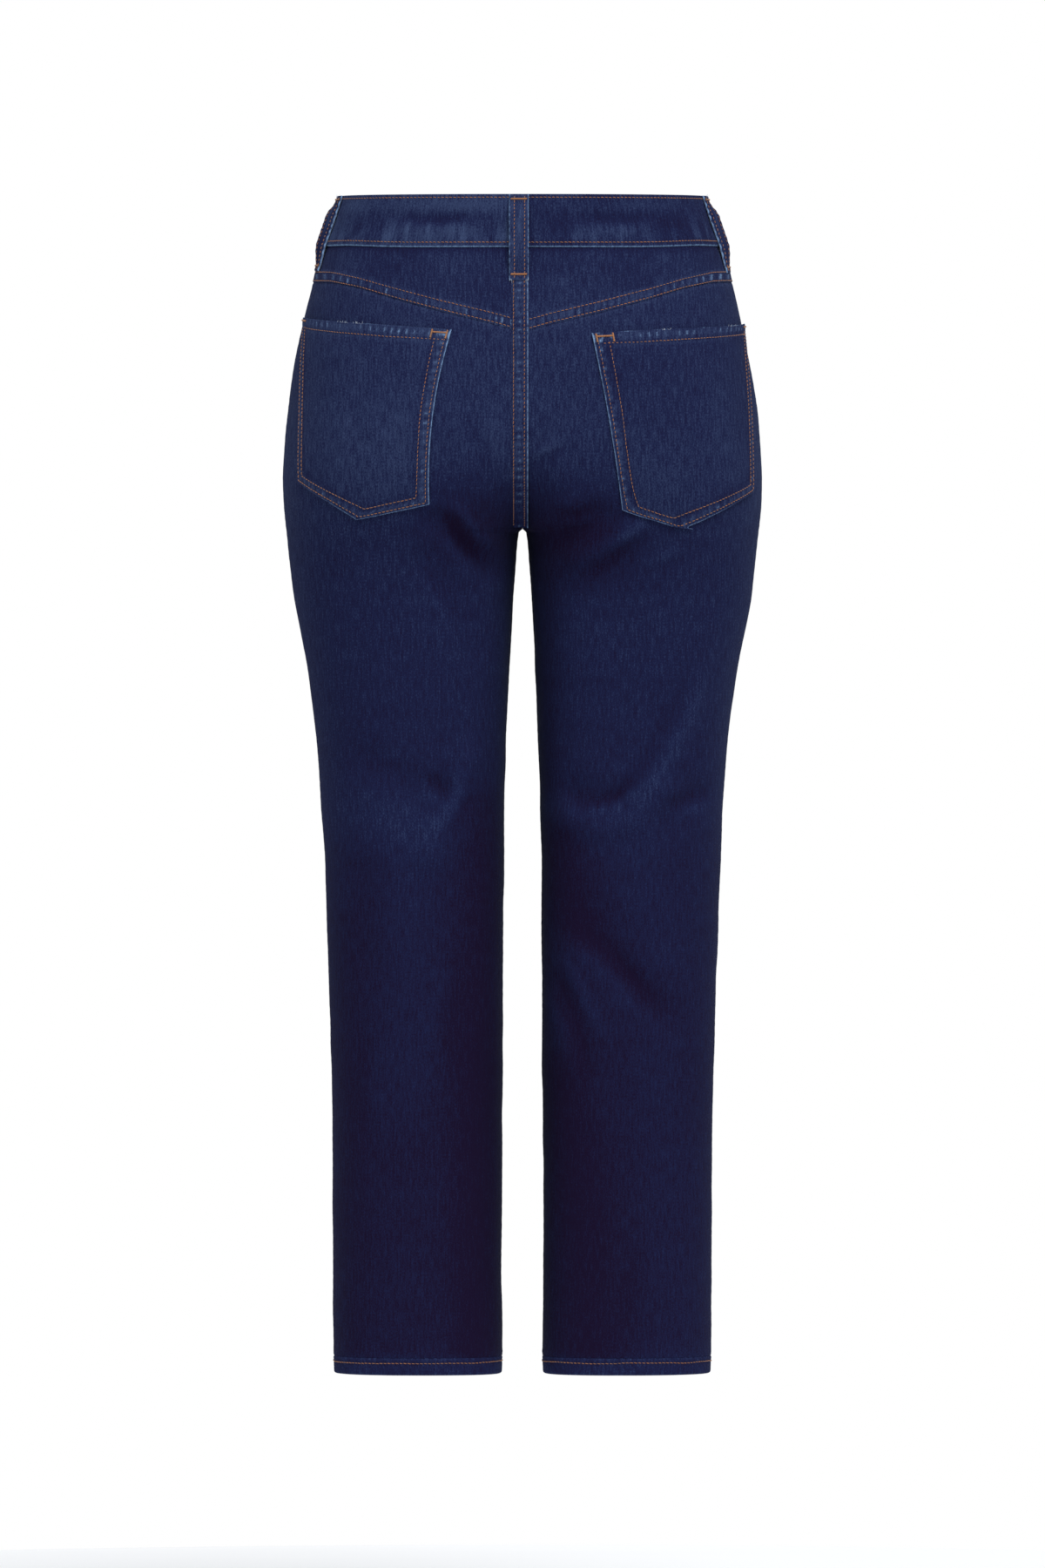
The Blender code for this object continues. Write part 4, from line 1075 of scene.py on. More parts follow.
def build_yokes(context):
    """The yokes: rows in equal shares from the lapped seam, where they are closer, up to the
    waistband. Between its stitch rows the seam is faded like a ladder, where its puckers rise."""
    across = spaced(YOKE_WIDTH, FINE_STEP)
    foot = yoke_edge_over(across)
    up = np.concatenate([np.linspace(0, 12, 15), np.linspace(14, 70, 20)]) / 70
    level = foot + (BAND_FOOT + TUCK - foot) * up[:, None]
    distance = panel_distance(level, "back", across)
    under_band = BAND_FOOT - level
    for name, side in SIDES:
        laid = lay(distance, level, side, "back")
        rise, above, ripple = yoke_relief(laid.base[..., 0], level)
        patchy = 0.5 + 0.5 * noise(laid.u / 11, level / 30, 23)
        worn = (0.60 + 0.3 * ripple) * bump(above, 1.1) * (0.55 + 0.45 * patchy)
        ladder = plateau(above, 1.6, 2.8, 6.6, 8.0)
        worn += (0.38 + 0.62 * ripple) * (0.65 + 0.35 * patchy) * ladder
        worn += 0.3 * bump(above - FELL_WIDTH, 1.2)
        from_side = edge_distances(laid.base)[0]
        side_rise, side_worn = seam_lines(laid, (from_side,), SEAM_SEEDS)
        rise = rise + side_rise - 0.35 * bump(under_band, 2.5)
        # Painted shadow: darker just under the waistband's lower edge.
        tone = 0.50 + 0.10 * noise(laid.u / 30, level / 18, 22) - 0.35 * bump(under_band, 4.0)
        thickness = CLOTH + np.maximum(rise, 0)
        made, outer = shell("denim_yoke_" + name, laid, rise - thickness / 2, thickness, tone,
                            worn + side_worn, split=True)
        declare(made, outer, ["yoke_" + name])


def pocket_place(pocket, across, down):
    """Distance and level of a back pocket's points: its long sides bow like flat arches in x, and
    its top and foot run straight between the corners. across and down are shares."""
    feet = np.array([pocket.foot_in, pocket.point, pocket.foot_out], float)[:, :, None]
    reach = distance_at(feet[:, 0], feet[:, 1], "back")[:, 0]
    point = (reach[1] - reach[0]) / (reach[2] - reach[0])
    sides = []
    for high, low, bow in ((pocket.top_in, pocket.foot_in, pocket.bow_in),
                           (pocket.top_out, pocket.foot_out, pocket.bow_out)):
        x = abs(high[0]) + (abs(low[0]) - abs(high[0])) * down + bow * 4 * down * (1 - down)
        sides.append(distance_at(x, high[1] + (low[1] - high[1]) * down, "back"))
    top = np.interp(across, [0, 1], [pocket.top_in[1], pocket.top_out[1]])
    foot = np.interp(across, [0, point, 1], feet[:, 1, 0])
    return sides[0] + (sides[1] - sides[0]) * across, top + (foot - top) * down


def pocket_swell(one, other, top):
    """How far a back pocket stands off the leg: half an ellipse between its sides, whose distances
    are shares of its width, times a bell that is highest just under its top edge."""
    return POCKET_SWELL * np.sqrt(np.clip(4 * one * other, 0, 1)) * bump(top - 10, 40)


def build_back_pockets(context):
    """The back pockets: a grid of shares between their corners, laid on the legs with a little
    room. The turned top and sides are thicker, with grooves at the stitches and puckers between,
    and a soft swell lifts the middle. The edges are rubbed, and the turned strips faded in bars."""
    across, down = spaced(POCKET_WIDTH, FINE_STEP), spaced(POCKET_HEIGHT, FINE_STEP)
    for name, pocket in BACK_POCKETS.items():
        distance, level = pocket_place(pocket, across[None, :], down[:, None])
        laid = lay(distance, level, pocket.side, "back")
        inner, outer_side, top, foot = edge_distances(laid.base)
        edge = np.minimum(np.minimum(inner, outer_side), foot)
        ripple = pucker(np.where(foot <= edge + 0.01, laid.u, level * 0.9),
                        31 if name == "left" else 32)
        top_ripple = pucker(laid.u, 33)
        rise = 0.55 * (1 - ramp(top, POCKET_HEM, POCKET_HEM + 2.4)) - 0.4 * bump(top - POCKET_HEM, 1.0)
        rise += 0.35 * (1 - ramp(edge, 8.6, 11.0))
        rise -= 0.3 * sum(bump(edge - row, 0.9) for row in POCKET_ROWS)
        rise += 0.20 * ripple * bump(edge - 5.0, 2.6) + 0.14 * top_ripple * bump(top - 5, 4)
        rise += pocket_swell(inner / POCKET_WIDTH, outer_side / POCKET_WIDTH, top)
        patchy = 0.55 + 0.45 * noise(laid.u / 14, 0 * level, 34)
        worn = (1.05 + 0.2 * ripple) * bump(edge, 1.0) * (1.0 - 0.5 * ramp(outer_side, 60, 20))
        worn += (0.32 + 0.50 * ripple) * plateau(edge, 2.4, 3.6, 6.4, 7.8)
        worn += (0.40 + 0.50 * top_ripple) * plateau(top, 0.8, 2.4, 6.0, 9.0)
        worn += (0.8 + 0.25 * top_ripple) * bump(top, 1.2) * patchy
        worn += (0.26 + 0.12 * top_ripple) * bump(top - POCKET_HEM - 2.4, 1.3)
        tone = 0.54 + 0.06 * noise(laid.u / 34, level / 40, 35) + 0.10 * bump(foot - 50, 45)
        # Painted shade: a darker band just inside the turned edges, at the foot of their step.
        tone += 0.06 * pocket.side - 0.16 * bump(edge - 11.5, 3)
        made, outer = shell("denim_pocket_back_" + name, laid,
                            POCKET_CLEAR + POCKET_WALL / 2 + rise, POCKET_WALL, tone, worn)
        declare(made, outer, ["pocket_back_" + name])


def build_front_pockets(context):
    """The facings in the front pockets' mouths: plain strips behind the legs, from a little in
    front of the mouth's quarter ellipse to just behind the side seam."""
    rows = np.linspace(BAND_FOOT - MOUTH_DEPTH - FACING_UNDER, BAND_FOOT + FACING_TUCK, 44)
    seam, _ = side_seam(rows)
    reach = mouth_inset(np.minimum(rows, BAND_FOOT)) + FACING_UNDER
    distance = (seam - reach)[:, None] + (reach + FACING_TUCK)[:, None] * np.linspace(0, 1, 46)
    for name, side in SIDES:
        laid = lay(distance, rows[:, None], side)
        tone = 0.30 + 0.12 * noise(laid.u / 25, laid.level / 30, 41)
        made, outer = shell("denim_pocket_front_" + name, laid,
                            -CLOTH - FACING_CLEAR - FACING_WALL / 2 + 0 * distance, FACING_WALL,
                            tone, 0 * distance)
        declare(made, outer, ["pocket_front_" + name])


def build_waistband(context):
    """The waistband: one strip from its lower end under the lap, round the left side, the back and
    the right side, to its upper end, which climbs over the lower one. Grooves lie at its two
    stitch rows, and its lower half is faded in bars along the grain."""
    rows = BAND_FOOT + (BAND_TOP - BAND_FOOT) * spaced(BAND_TOP - BAND_FOOT, 2.4)
    _, whole = side_seam(rows)
    half = np.linspace(0, 1, 190)
    under = BAND_UNDERLAP / whole.mean() * np.linspace(1, 0, 14)[:-1]
    over = BAND_LAP / whole.mean() * np.linspace(0, 1, 8)
    share = np.concatenate([under, half, half[-2:0:-1], over])
    counts = [len(under), len(half), len(half) - 2, len(over)]
    side = np.repeat([1.0, -1.0, 1.0, -1.0], counts)
    climbs = np.repeat([0.0, 0.0, 1.0, 1.0], counts)
    distance = whole[:, None] * share
    laid = lay(distance, rows[:, None], side)
    laid = laid._replace(u=share * whole.mean() * side + 0 * distance)
    low, high = laid.level - BAND_FOOT, BAND_TOP - laid.level
    ripple, top_ripple = pucker(laid.u, 51), pucker(laid.u, 52)
    relief = -0.32 * sum(bump(laid.level - row, 0.9) for row in BAND_ROWS)
    relief += 0.16 * ripple * bump(low - 5.0, 4.0) + 0.10 * top_ripple * bump(high - 4, 4)
    relief += 0.5 * noise(laid.u / 24, laid.level / 15, 53) * ramp(low, 4, 12) * ramp(high, 4, 10)
    bars = noise(laid.u / 4.6, 3 + laid.level / 40, 55) * (1 - ramp(low, 14, 28))
    worn = (1.05 + 0.20 * ripple) * bump(low, 0.9) + 0.30 * bump(high, 1.2)
    worn += (0.22 + 0.20 * bars) * bump(low - 8.5, 5.5)
    tone = 0.52 + 0.16 * noise(laid.u / 30, laid.level / 12, 54) + 0.18 * bump(high - 9, 6)
    tone = tone + 0.24 * bars * ramp(low, 2, 6) + 0.14 * laid.side
    rise = (BAND_PROUD - CLOTH) / 2 + lap_climb(distance) * climbs + relief
    made, outer = shell("denim_waistband", laid, rise, BAND_PROUD + CLOTH, tone, worn)
    declare(made, outer, ["waistband"])


def hem_wander(u):
    """How far a hem's stitch row strays up and down."""
    return 0.5 * noise(u / 16, 0 * u, 61)


def build_hems(context):
    """The turned hems: closed bands round both faces of a leg, with ripples slanted like a rope's
    strands and a groove under the wandering stitch row."""
    shares = np.concatenate([[0, 0.03, 0.08, 0.15], np.linspace(0.24, 1, 10)])
    rows = HEM_FOOT + (HEM_TOP - HEM_FOOT) * shares
    distance = fine_ring(rows)[2][:, -1:] * np.linspace(0, 1, 241)[None, :-1]
    for name, side in SIDES:
        laid = lay(distance, rows[:, None], side)
        above, below_top = laid.level - HEM_FOOT, HEM_TOP - laid.level
        roping = pucker(laid.u - 0.8 * below_top, 15)
        relief = 0.35 * bump(below_top, 4.5) + 0.28 * roping * bump(above - 7, 6)
        relief -= 0.3 * bump(above - HEM_ROW - hem_wander(laid.u), 1.0) + 0.3 * HEM_PROUD
        worn = (0.24 + 0.22 * roping) * ramp(above, 10, 13) + 0.5 * bump(above, 1.2)
        worn += (0.10 + 0.40 * roping * noise(laid.u / 13, 0 * laid.u, 63)) * bump(above - 5, 4)
        tone = 0.18 + 0.1 * noise(laid.u / 20, laid.level / 9, 62)
        made, outer = shell("denim_hem_" + name, laid, HEM_PROUD - HEM_WALL / 2 + relief, HEM_WALL,
                            tone, worn, closed=True)
        declare(made, outer, ["hem_" + name], closed=True)


def loop_grid(loop, down, across):
    """The laid cloth under a belt loop, and how far its strip stands off: it rests on the cloth at
    both ends, steps off the waistband, and arches between. A side loop leans, so that its edge
    nearer to the back lies closer to the cloth."""
    top = BAND_TOP - LOOP_INSET
    level = top + (loop.foot - top) * down[:, None] + 0 * across
    lean = 1.0 + 0 * across
    if loop.start == "centre_back":
        laid = lay_across(across[None, :] - loop.round_waist, level, "back")
    else:
        start = fine_ring(level[:, 0])[3][:, None]
        if loop.start == "outermost":
            lean = 0.62 - 0.76 * across / LOOP_WIDTH
        else:
            start = 0 * start
        laid = lay(start + loop.round_waist + across, level, loop.side)
    rest = 0.3 + BAND_PROUD * ramp(level, *LOOP_STEP)
    arch = smooth(down / LOOP_TOP_BEND) * smooth((1 - down) / LOOP_FOOT_BEND)
    stand = np.maximum(rest, (BAND_PROUD + loop.stand_off) * arch[:, None] * lean)
    return laid._replace(height=0.25 * laid.height), stand


def build_belt_loops(context):
    """The belt loops: folded strips with a groove at each stitch row, puckered and rubbed edges,
    and a worn middle where the waistband's edge lies under them. The centre back one is paler."""
    across = LOOP_WIDTH * (spaced(LOOP_WIDTH, 1.0) - 0.5)
    for number, loop in enumerate(BELT_LOOPS):
        laid, stand = loop_grid(loop, np.linspace(0, 1, 60), across)
        wide = across[None, :] + 0 * laid.level
        ripple = pucker(laid.level * 1.1, 71 + number)
        relief = 0.30 * ripple * bump(np.abs(wide) - 6.4, 2.0)
        relief -= sum(0.32 * bump(wide - row, 0.8) for row in LOOP_ROWS)
        worn = (0.95 + 0.3 * ripple) * bump(LOOP_WIDTH / 2 - np.abs(wide), 0.8)
        worn += 0.55 * bump(wide + 0.8, 1.6) * bump(laid.level + 2, 13)
        worn += 0.5 * bump(laid.level - loop.foot, 1.8) + 0.3 * bump(laid.level - BAND_TOP, 2.0)
        tone = (0.72 if number == 0 else 0.42) + 0.15 * noise(wide / 5, laid.level / 9, 75 + number)
        made, outer = shell("denim_" + loop.name, laid._replace(u=wide),
                            stand + LOOP_WALL / 2 + relief, LOOP_WALL, tone, worn)
        declare(made, outer, [loop.name])


def fly_place(across, down):
    """x and level of the fly flap's points: straight down the centre, with its far edge turning in
    along a rounded J at the foot."""
    top = BAND_FOOT - 0.3
    turn = np.clip((down - J_START) / (1 - J_START), 0, 1)
    width = FLY_LAP + (FLY_WIDTH - FLY_LAP) * np.sqrt(np.clip(1 - turn**J_POWER, 0, 1))
    return -FLY_LAP + (width + FLY_LAP) * across, top + (FLY_FOOT - top) * down


def build_fly(context):
    """The fly flap, whose rows lie closer where its edge turns in, and the zip behind it."""
    turned = 1 - (1 - J_START) * np.cos(np.linspace(0, math.pi / 2, 30)[1:]) ** 1.3
    down = np.concatenate([np.linspace(0, J_START, 34), turned])
    x, level = fly_place(spaced(FLY_WIDTH + FLY_LAP, 2.0)[None, :], down[:, None])
    laid = lay_across(x, level, "front")
    inner, outer_edge, _, foot = edge_distances(laid.base)
    rim = np.minimum(outer_edge, foot)
    ripple = pucker(level, 81)
    worn = (0.7 + 0.3 * ripple) * bump(inner, 1.4) + (0.15 + 0.3 * ripple) * bump(rim - 5, 3)
    tone = 0.40 + 0.1 * noise(x / 12, level / 20, 82)
    grooves = sum(bump(rim - row, 0.9) for row in FLY_ROWS)
    relief = 0.15 * ripple * bump(rim - 5, 3) - 0.25 * grooves
    made, outer = shell("denim_fly", laid, FLY_CLEAR + FLY_WALL / 2 + relief, FLY_WALL, tone, worn)
    declare(made, outer, ["fly"])
    build_zip(context)


def build_zip(context):
    """The closed zip behind the centre front: a tape, two rows of teeth that mesh, and a slider.
    Each tooth is a short tube across the centre, and the slider a longer one down it."""
    level = np.linspace(ZIP_TOP, ZIP_FOOT, 60)[:, None]
    x = np.linspace(-ZIP_HALF_WIDTH, ZIP_HALF_WIDTH, 21)[None, :]
    laid = lay_across(x, level, "front")
    laid = laid._replace(u=x + 0 * level)
    near = -CLOTH - FLY_CLEAR
    plain = 0 * laid.level
    made, _ = shell("zip_tape", laid, near - ZIP_WALL / 2 + plain, ZIP_WALL, plain, plain)
    for i in range(2):
        made.data.materials[i] = zip_tape_cloth()
    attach(made, BODY)
    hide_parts("zip")
    teeth = Threads(91, context)
    place = np.arange(ZIP_FOOT + 4, ZIP_TOP - 4, 1.5)
    for k, hand in enumerate((1.0, -1.0)):
        run = hand * np.array([3.0, 1.6, -0.4])[None, :]
        row = lay_across(run, (place + 0.75 * k)[:, None], "front")
        teeth.add_tubes(lift(row, near - ZIP_WALL - 0.5), row.out, np.array([0.55, 0.6, 0.5]))
    slider = lay_across(np.zeros((1, 4)), ZIP_TOP - np.array([[1.0, 4.0, 9.0, 11.0]]), "front")
    teeth.add_tubes(lift(slider, near - ZIP_WALL - 1.4), slider.out, np.array([2.0, 3.6, 3.2, 1.6]))
    teeth.make("zip_teeth", aged_brass())


def seat_step(x, level):
    """Height of the yokes' seam under the centre-back seam, fading out below it."""
    return yoke_relief(x, level)[0] * ramp(level, -96, -88)


def build_seam_fells(context):
    """The lapped seams at the centre back and, below the fly, at the centre front: strips straight
    across the groove, thicker on the lapped side, with a groove at each stitch row."""
    for name, face, top_level in (("seat", "back", BAND_FOOT - 0.6), ("rise", "front", FLY_FOOT + 4.0)):
        over, under = SEAT_FELL
        level = np.linspace(CROTCH + 1.5, top_level, 150)[:, None]
        x = over + (under - over) * spaced(over - under, 0.8) + 0 * level
        laid = lay_centre(x, level, face)
        ripple = pucker(level + 0 * x, 95)
        base = seat_step(x, level) if face == "back" else 0 * x
        top = 0.15 + 0.75 * ramp(-x, -over, 2.6 - over)
        top = top - 0.25 * sum(bump(x - row, 0.8) for row in SEAT_ROWS)
        top = top + 0.2 * ripple * bump(x - 2.5, 3.0)
        worn = (1.0 + 0.2 * ripple) * bump(x - under, 1.0)
        worn += (0.34 + 0.46 * ripple) * bump(x - 2.6, 3.6)
        # Painted shade: the seams are darker towards the crotch, where the legs meet.
        tone = 0.14 + 0.44 * ramp(level, -250, -190) + 0.1 * noise(x / 6, level / 14, 96)
        made, outer = shell("denim_seam_" + name, laid, base + top / 2, np.maximum(top, 0.2), tone,
                            worn)
        declare(made, outer, [])


# ---------------------------------------------------------------- thread pieces

def build_waistband_threads(context):
    """The waistband's two rows all round, and the row down its upper end."""
    threads = Threads(101, context)
    proud = BAND_PROUD - 0.15
    for level in BAND_ROWS:
        whole = side_seam(np.array([level]))[1][0]
        for side, start, end, climbs in ((-1.0, BAND_LAP + 1.5, whole, 0.0), (1.0, 0.0, whole, 1.0),
                                         (-1.0, 0.0, BAND_END_ROW, 1.0)):
            distance = np.linspace(start, end, 160)[None, :]
            threads.add_line(lay(distance, level, side), proud + lap_climb(distance) * climbs)
    level = np.linspace(BAND_FOOT + 3, BAND_TOP - 3, 12)[None, :]
    threads.add_line(lay(BAND_END_ROW, level, -1.0), proud + LAP_RISE)
    threads.make("threads_waistband", orange_thread())


def build_back_threads(context):
    """The yokes' double rows, from the centre seam's edges to the sides, and that seam's own."""
    threads = Threads(102, context)
    for side in (1.0, -1.0):
        for row in FELL_ROWS:
            x = np.linspace(9.6 if side > 0 else 5.0, 172.0, 90)
            x = x[x / column("half_width", -60.0) < 0.995][None, :]
            level = yoke_edge_at(x) + row
            threads.add_line(lay_across(side * x, level, "back"),
                             yoke_relief(side * x, level)[0] + 0.05)
    level = np.linspace(BAND_FOOT - 1.5, CROTCH + 3.0, 120)[None, :]
    for row in SEAT_ROWS:
        x = row + 0 * level
        threads.add_line(lay_centre(x, level, "back"), seat_step(x, level) + 0.7)
    threads.make("threads_back", orange_thread())


def pocket_row(inset):
    """Shares across and down for a line this far inside a back pocket's sides and foot. The inner
    row turns a little higher above the foot."""
    side, foot, bend = inset / POCKET_WIDTH, inset / POCKET_HEIGHT, 0.016 if inset > 5 else 0.005
    down = np.linspace(0.004, 1 - foot - bend, 60)
    across = np.concatenate([np.full(60, side), np.linspace(side, 1 - side, 50), np.full(60, 1 - side)])
    return across, np.concatenate([down, np.full(50, 1 - foot - 0.4 * bend), down[::-1]])


def build_pocket_threads(context):
    """Both back pockets: the double row round each, the row under its turned top, and its tacks,
    a bracket at the inner corner and a bar at the outer."""
    threads = Threads(103, context)
    height = POCKET_CLEAR + POCKET_WALL
    rows = [pocket_row(inset) for inset in POCKET_ROWS]
    rows.append((np.linspace(0.02, 0.98, 60), np.full(60, POCKET_HEM / POCKET_HEIGHT)))
    bars = (((2.0, 3.4), (10.5, 3.4)), ((2.0, 1.0), (2.0, 8.4)), ((10.5, 1.0), (10.5, 8.4)),
            ((107.5, 3.0), (116.0, 3.0)))
    for pocket in BACK_POCKETS.values():
        def at(across, down):
            return lay(*pocket_place(pocket, across[None, :], down[None, :]), pocket.side)
        for across, down in rows:
            swell = pocket_swell(across, 1 - across, down * POCKET_HEIGHT)
            threads.add_line(at(across, down), height + 0.2 + swell[None, :])
        for bar in bars:
            across, down = np.transpose(bar)
            lifted = height + 1.35 + 0.3 * (across.sum() > 5)
            threads.add_tacks(at(across / POCKET_WIDTH, down / POCKET_HEIGHT), lifted, 1.3)
    threads.make("threads_pockets", orange_thread())


def build_hem_threads(context):
    """One wandering row round the back half of each hem and on round its front."""
    threads = Threads(104, context)
    level = HEM_FOOT + HEM_ROW
    distance = np.linspace(0, side_seam(np.array([level]))[1][0], 200)[None, :]
    for side in (1.0, -1.0):
        laid = lay(distance, level + hem_wander(distance * side), side)
        threads.add_line(laid, 1.1 * HEM_PROUD)
    threads.make("threads_hems", orange_thread())


def build_loop_threads(context):
    """Two rows down each belt loop, and a bar tack near each end."""
    threads = Threads(105, context)
    for loop in BELT_LOOPS:
        laid, stand = loop_grid(loop, np.linspace(0.015, 0.985, 40), np.array(LOOP_ROWS))
        top = lift(laid, stand + LOOP_WALL - 0.3)
        for i in range(len(LOOP_ROWS)):
            threads.add_row(top[:, i], laid.out[:, i])
        laid, stand = loop_grid(loop, np.array([0.055, 0.93]), np.array([-6.4, 6.4]))
        threads.add_tacks(laid, stand + LOOP_WALL + 0.1, 1.4)
    threads.make("threads_loops", orange_thread())


def build_front_threads(context):
    """The fly's J in two rows, the pocket mouths' double rows, the seam below the fly and the fly's
    two bar tacks."""
    threads = Threads(106, context)
    height = FLY_CLEAR + FLY_WALL
    down = np.linspace(0.0, 0.985, 90)
    for inset in FLY_ROWS:
        x, level = fly_place(1.0, down)
        x, level = x - inset, level + inset * ramp(down, J_START, 1.0) * 0.9
        keep = x > -FLY_LAP + 2.2
        threads.add_line(lay_across(x[keep][None, :], level[keep][None, :], "front"), height)
    turn = np.linspace(0.06, 1, 60) * math.pi / 2
    level = BAND_FOOT - 0.5 - MOUTH_DEPTH * np.cos(turn)
    seam, _ = side_seam(level)
    for side in (1.0, -1.0):
        for inset in MOUTH_ROWS:
            reach = mouth_inset(level) + inset * np.sin(turn) ** 0.4
            drop = inset * np.cos(turn)
            threads.add_line(lay((seam - reach)[None, :], (level - drop)[None, :], side), 0.35)
    level = np.linspace(FLY_FOOT + 2.0, CROTCH + 3.0, 60)[None, :]
    for row in SEAT_ROWS:
        threads.add_line(lay_centre(row + 0 * level, level, "front"), 0.7)
    for x, level in ((30.0, -128.0), (2.0, FLY_FOOT + 6.0)):
        laid = lay_across(np.array([[x - 3, x + 3]]), np.array([[level, level - 2.0]]), "front")
        threads.add_tacks(laid, height + 0.1, 2.0)
    threads.make("threads_front", orange_thread())


def build_frays(context):
    """White cotton ends where the cloth is worn through: at the back belt loop's foot, the side
    loops' tops and the back pockets' top edges."""
    frays = Threads(111, context)
    random = np.random.default_rng(112)
    for x, count in ((-6.9, 7), (7.0, 8)):
        laid, stand = loop_grid(BELT_LOOPS[0], np.full(count, 0.985), np.array([x]))
        roots = lift(laid, stand + LOOP_WALL * 0.6)[:, 0] + random.normal(0, 0.5, (count, 3))
        frays.add_fray(roots, laid.out[0, 0], np.array([0.3 * np.sign(-x), 0.1, -1.0]), 1.7)
    for loop in BELT_LOOPS[1:3]:
        laid, stand = loop_grid(loop, np.full(10, 0.01), np.array([0.0]))
        roots = lift(laid, stand + LOOP_WALL)[:, 0] + random.normal(0, 1.0, (10, 3))
        frays.add_fray(roots, laid.out[0, 0], np.array([0.0, 0.3, -0.7]), 1.8)
    for name, spots in (("left", ((0.56, 13), (0.47, 10))), ("right", ((0.74, 9), (0.34, 13)))):
        pocket = BACK_POCKETS[name]
        for share, count in spots:
            across = share + random.normal(0, 0.022, count)
            distance, level = pocket_place(pocket, across[None, :], np.full((1, count), 0.006))
            laid = lay(distance, level, pocket.side)
            roots = lift(laid, POCKET_CLEAR + POCKET_WALL + 0.9)[0]
            frays.add_fray(roots, laid.out[0, 0], np.array([0.0, 0.05, 0.7]), 1.6, 0.18)
    frays.make("loose_ends", loose_cotton())


def build_button(context):
    """A shank button: BUTTON_PROFILE turned round its axis, with a fan of quads over the small
    ring at each end, set on the waistband's upper end along the cloth's own direction."""
    turn = np.linspace(0, 2 * math.pi, BUTTON_STEPS + 1)[:-1]
    circle = np.stack([np.cos(turn), np.sin(turn)], axis=-1)
    profile = np.array(BUTTON_PROFILE) * (BUTTON_RADIUS, BUTTON_HEIGHT)
    radius, height = np.maximum(profile[:, :1, None], 0.02), profile[:, 1:, None]
    ring = np.concatenate([radius * circle, height + 0 * circle[:, :1]], axis=-1)
    laid = lay_across(np.array([[BUTTON_X]]), np.array([[0.5 * (BAND_TOP + BAND_FOOT)]]), "front")
    laid = laid._replace(height=0 * laid.height)
    low = lift(laid, BAND_PROUD + LAP_RISE + 0.3)[0, 0]
    turned = Vector((0, 0, 1)).rotation_difference(Vector(laid.out[0, 0])).to_matrix()
    points = ring.reshape(-1, 3) @ np.array(turned).T + low
    quads, _ = grid_quads(len(profile), BUTTON_STEPS, closed=True)
    i = np.arange(0, BUTTON_STEPS - 2, 2)
    fan = np.stack([0 * i, i + 1, i + 2, i + 3], axis=-1)
    last_ring = (len(profile) - 1) * BUTTON_STEPS
    quads = np.concatenate([quads, fan, fan[:, ::-1] + last_ring])
    made = mesh_object("shank_button", points, quads, [aged_brass()])
    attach(made, BODY)
    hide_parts("button")


# ---------------------------------------------------------------- stage

Lamp = namedtuple("Lamp", "name kind place aim_level power size")


def look_at(thing, place, level):
    """Puts a lamp or camera at its place, turned to the origin's axis at a level."""
    thing.location = place
    thing.rotation_euler = (Vector(place) - Vector((0, 0, level))).to_track_quat("Z", "Y").to_euler()
    bpy.context.scene.collection.objects.link(thing)


def build_floor(stage):
    bpy.ops.mesh.primitive_circle_add(vertices=96, radius=stage.floor_radius, fill_type="NGON")
    floor = bpy.context.object
    floor.name = "floor"
    floor.data.transform(Matrix.Translation((0, 0, stage.floor_level)))
    floor.data.materials.append(pale_floor())


def build_studio(stage):
    """A sky that lights the jeans coolly and looks plain white to the camera."""
    world = bpy.data.worlds.new("studio")
    bpy.context.scene.world = world
    world.use_nodes = True
    tree = world.node_tree
    sky, seen = tree.nodes["Background"], tree.nodes.new("ShaderNodeBackground")
    for background, colour, strength in ((sky, (0.93, 0.96, 1.0, 1), stage.sky_strength),
                                         (seen, (1, 1, 1, 1), 1.0)):
        background.inputs["Color"].default_value = colour
        background.inputs["Strength"].default_value = strength
    chosen, rays = tree.nodes.new("ShaderNodeMixShader"), tree.nodes.new("ShaderNodeLightPath")
    for source, socket in ((rays.outputs["Is Camera Ray"], chosen.inputs[0]),
                           (sky.outputs[0], chosen.inputs[1]), (seen.outputs[0], chosen.inputs[2]),
                           (chosen.outputs[0], tree.nodes["World Output"].inputs["Surface"])):
        tree.links.new(source, socket)


def build_stage(context):
    """A pale floor under the held-up jeans, a soft sun, two side lights and the camera."""
    stage, scene = context.scene.jeans_stage, context.scene
    build_floor(stage)
    build_studio(stage)
    scene.view_settings.view_transform = "Standard"
    for lamp in (Lamp("sun", "SUN", (-0.9, 3.0, 3.4), 0.0, stage.sun_strength, 0.5),
                 Lamp("side_left", "AREA", (2.2, -0.5, 0.1), -0.45, stage.side_power, 1.6),
                 Lamp("side_right", "AREA", (-2.2, -0.5, 0.1), -0.45, stage.side_power, 1.6)):
        data = bpy.data.lights.new(lamp.name, lamp.kind)
        data.energy = lamp.power
        if lamp.kind == "SUN":
            data.angle = lamp.size
        else:
            data.shape, data.size, data.size_y = "RECTANGLE", lamp.size, 2.2
        look_at(bpy.data.objects.new(lamp.name, data), lamp.place, lamp.aim_level)
    data = bpy.data.cameras.new("camera")
    data.sensor_width = 36.0
    data.lens = data.sensor_width * stage.camera_distance / stage.frame_height
    data.clip_start, data.clip_end = 0.5, 200.0
    scene.camera = bpy.data.objects.new("camera", data)
    look_at(scene.camera, (0, stage.camera_distance, stage.camera_level), stage.frame_middle)


# ---------------------------------------------------------------- add-on

def colour_setting(name, description, default):
    return bpy.props.FloatVectorProperty(name=name, description=description, default=default,
                                         size=3, min=0, max=1, subtype="COLOR")


def number_setting(name, description, default, unit="LENGTH"):
    return bpy.props.FloatProperty(name=name, description=description, default=default, unit=unit)


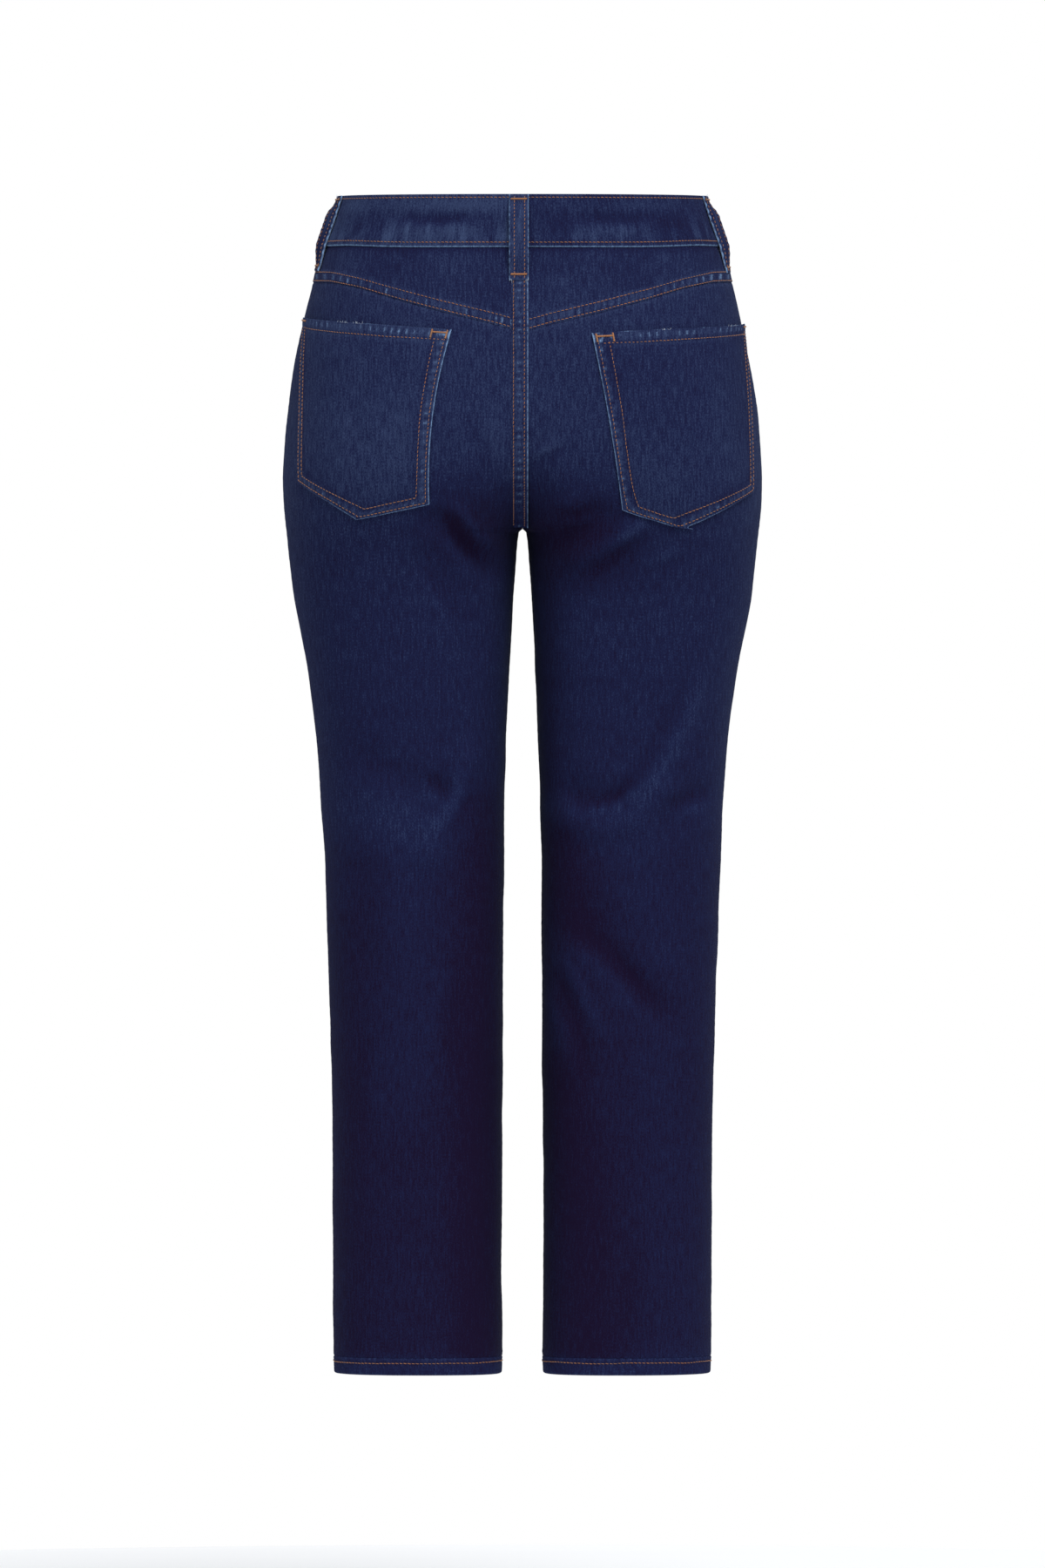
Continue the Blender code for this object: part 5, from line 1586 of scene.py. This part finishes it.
class JeansDenim(bpy.types.PropertyGroup):
    """Colours of the denim"""
    deep: colour_setting("Deep", "Unworn cloth in the shade", (0.0085, 0.0046, 0.0200))
    indigo: colour_setting("Indigo", "The cloth's main colour", (0.0108, 0.0150, 0.055))
    faded: colour_setting("Faded", "Cloth that is worn all over", (0.047, 0.071, 0.152))
    abraded: colour_setting("Abraded", "Rubbed seam edges", (0.22, 0.36, 0.58))


class JeansThread(bpy.types.PropertyGroup):
    """Size and colours of the topstitching"""
    stitch_length: number_setting("Stitch length", "Hole to hole", 0.0033)
    thread_width: number_setting("Thread width", "Across the thread", 0.00062)
    colour: colour_setting("Thread", "Clean thread", (0.42, 0.165, 0.052))
    dulled: colour_setting("Dulled", "Thread that has taken up indigo", (0.19, 0.115, 0.075))


class JeansStage(bpy.types.PropertyGroup):
    """Floor, lights and camera"""
    floor_level: number_setting("Floor", "Level of the floor", -1.15)
    floor_radius: number_setting("Floor radius", "Small enough that the camera sees only the studio "
                                 "behind the jeans", 1.4)
    camera_distance: number_setting("Camera distance", "Behind the jeans", 14.0)
    camera_level: number_setting("Camera level", "Height of the camera", -0.25)
    frame_middle: number_setting("Frame middle", "Level at mid picture", -0.4539)
    frame_height: number_setting("Frame height", "Seen at the jeans", 1.265)
    sky_strength: number_setting("Sky", "Light from all round", 0.62, "NONE")
    sun_strength: number_setting("Sun", "Soft key light", 2.2, "NONE")
    side_power: number_setting("Sides", "Side lights, in watts", 1.2, "NONE")


GROUPS = {"jeans_denim": JeansDenim, "jeans_thread": JeansThread, "jeans_stage": JeansStage}
PIECES = [
    ("back_legs", "Back legs", build_back_legs),
    ("front_legs", "Front legs", build_front_legs),
    ("yokes", "Yokes", build_yokes),
    ("back_pockets", "Back pockets", build_back_pockets),
    ("front_pockets", "Front pockets", build_front_pockets),
    ("waistband", "Waistband", build_waistband),
    ("hems", "Hems", build_hems),
    ("belt_loops", "Belt loops", build_belt_loops),
    ("fly", "Fly and zip", build_fly),
    ("seam_fells", "Lapped seams", build_seam_fells),
    ("button", "Button", build_button),
    ("waistband_threads", "Waistband threads", build_waistband_threads),
    ("back_threads", "Yoke and seat threads", build_back_threads),
    ("pocket_threads", "Pocket threads", build_pocket_threads),
    ("hem_threads", "Hem threads", build_hem_threads),
    ("loop_threads", "Loop threads", build_loop_threads),
    ("front_threads", "Front threads", build_front_threads),
    ("frays", "Frays", build_frays),
    ("stage", "Stage", build_stage),
]


def operator_for(key, label, build):
    """An operator that builds one group of pieces, or the stage."""
    def execute(self, context):
        build(context)
        return {"FINISHED"}
    return type("JEANS_OT_" + key, (bpy.types.Operator,), {
        "bl_idname": "jeans." + key, "bl_label": label, "execute": execute,
        "__doc__": build.__doc__, "bl_options": {"REGISTER", "UNDO"},
    })


class JEANS_PT_pieces(bpy.types.Panel):
    """Lists the pieces and their settings"""
    bl_label = "Boyfriend jeans"
    bl_space_type = "VIEW_3D"
    bl_region_type = "UI"
    bl_category = "Jeans"

    def draw(self, context):
        for key, label, _ in PIECES:
            self.layout.operator("jeans." + key, text=label)
        for group in GROUPS:
            settings = getattr(context.scene, group)
            for key in settings.bl_rna.properties.keys():
                if key not in ("rna_type", "name"):
                    self.layout.prop(settings, key)


CLASSES = (*GROUPS.values(), *(operator_for(*piece) for piece in PIECES), JEANS_PT_pieces)


def register():
    for item in CLASSES:
        bpy.utils.register_class(item)
    for key, group in GROUPS.items():
        setattr(bpy.types.Scene, key, bpy.props.PointerProperty(type=group))


def unregister():
    for key in GROUPS:
        delattr(bpy.types.Scene, key)
    for item in reversed(CLASSES):
        bpy.utils.unregister_class(item)


def main():
    register()
    for key, _, _ in PIECES:
        getattr(bpy.ops.jeans, key)()


if __name__ == "__main__":
    main()
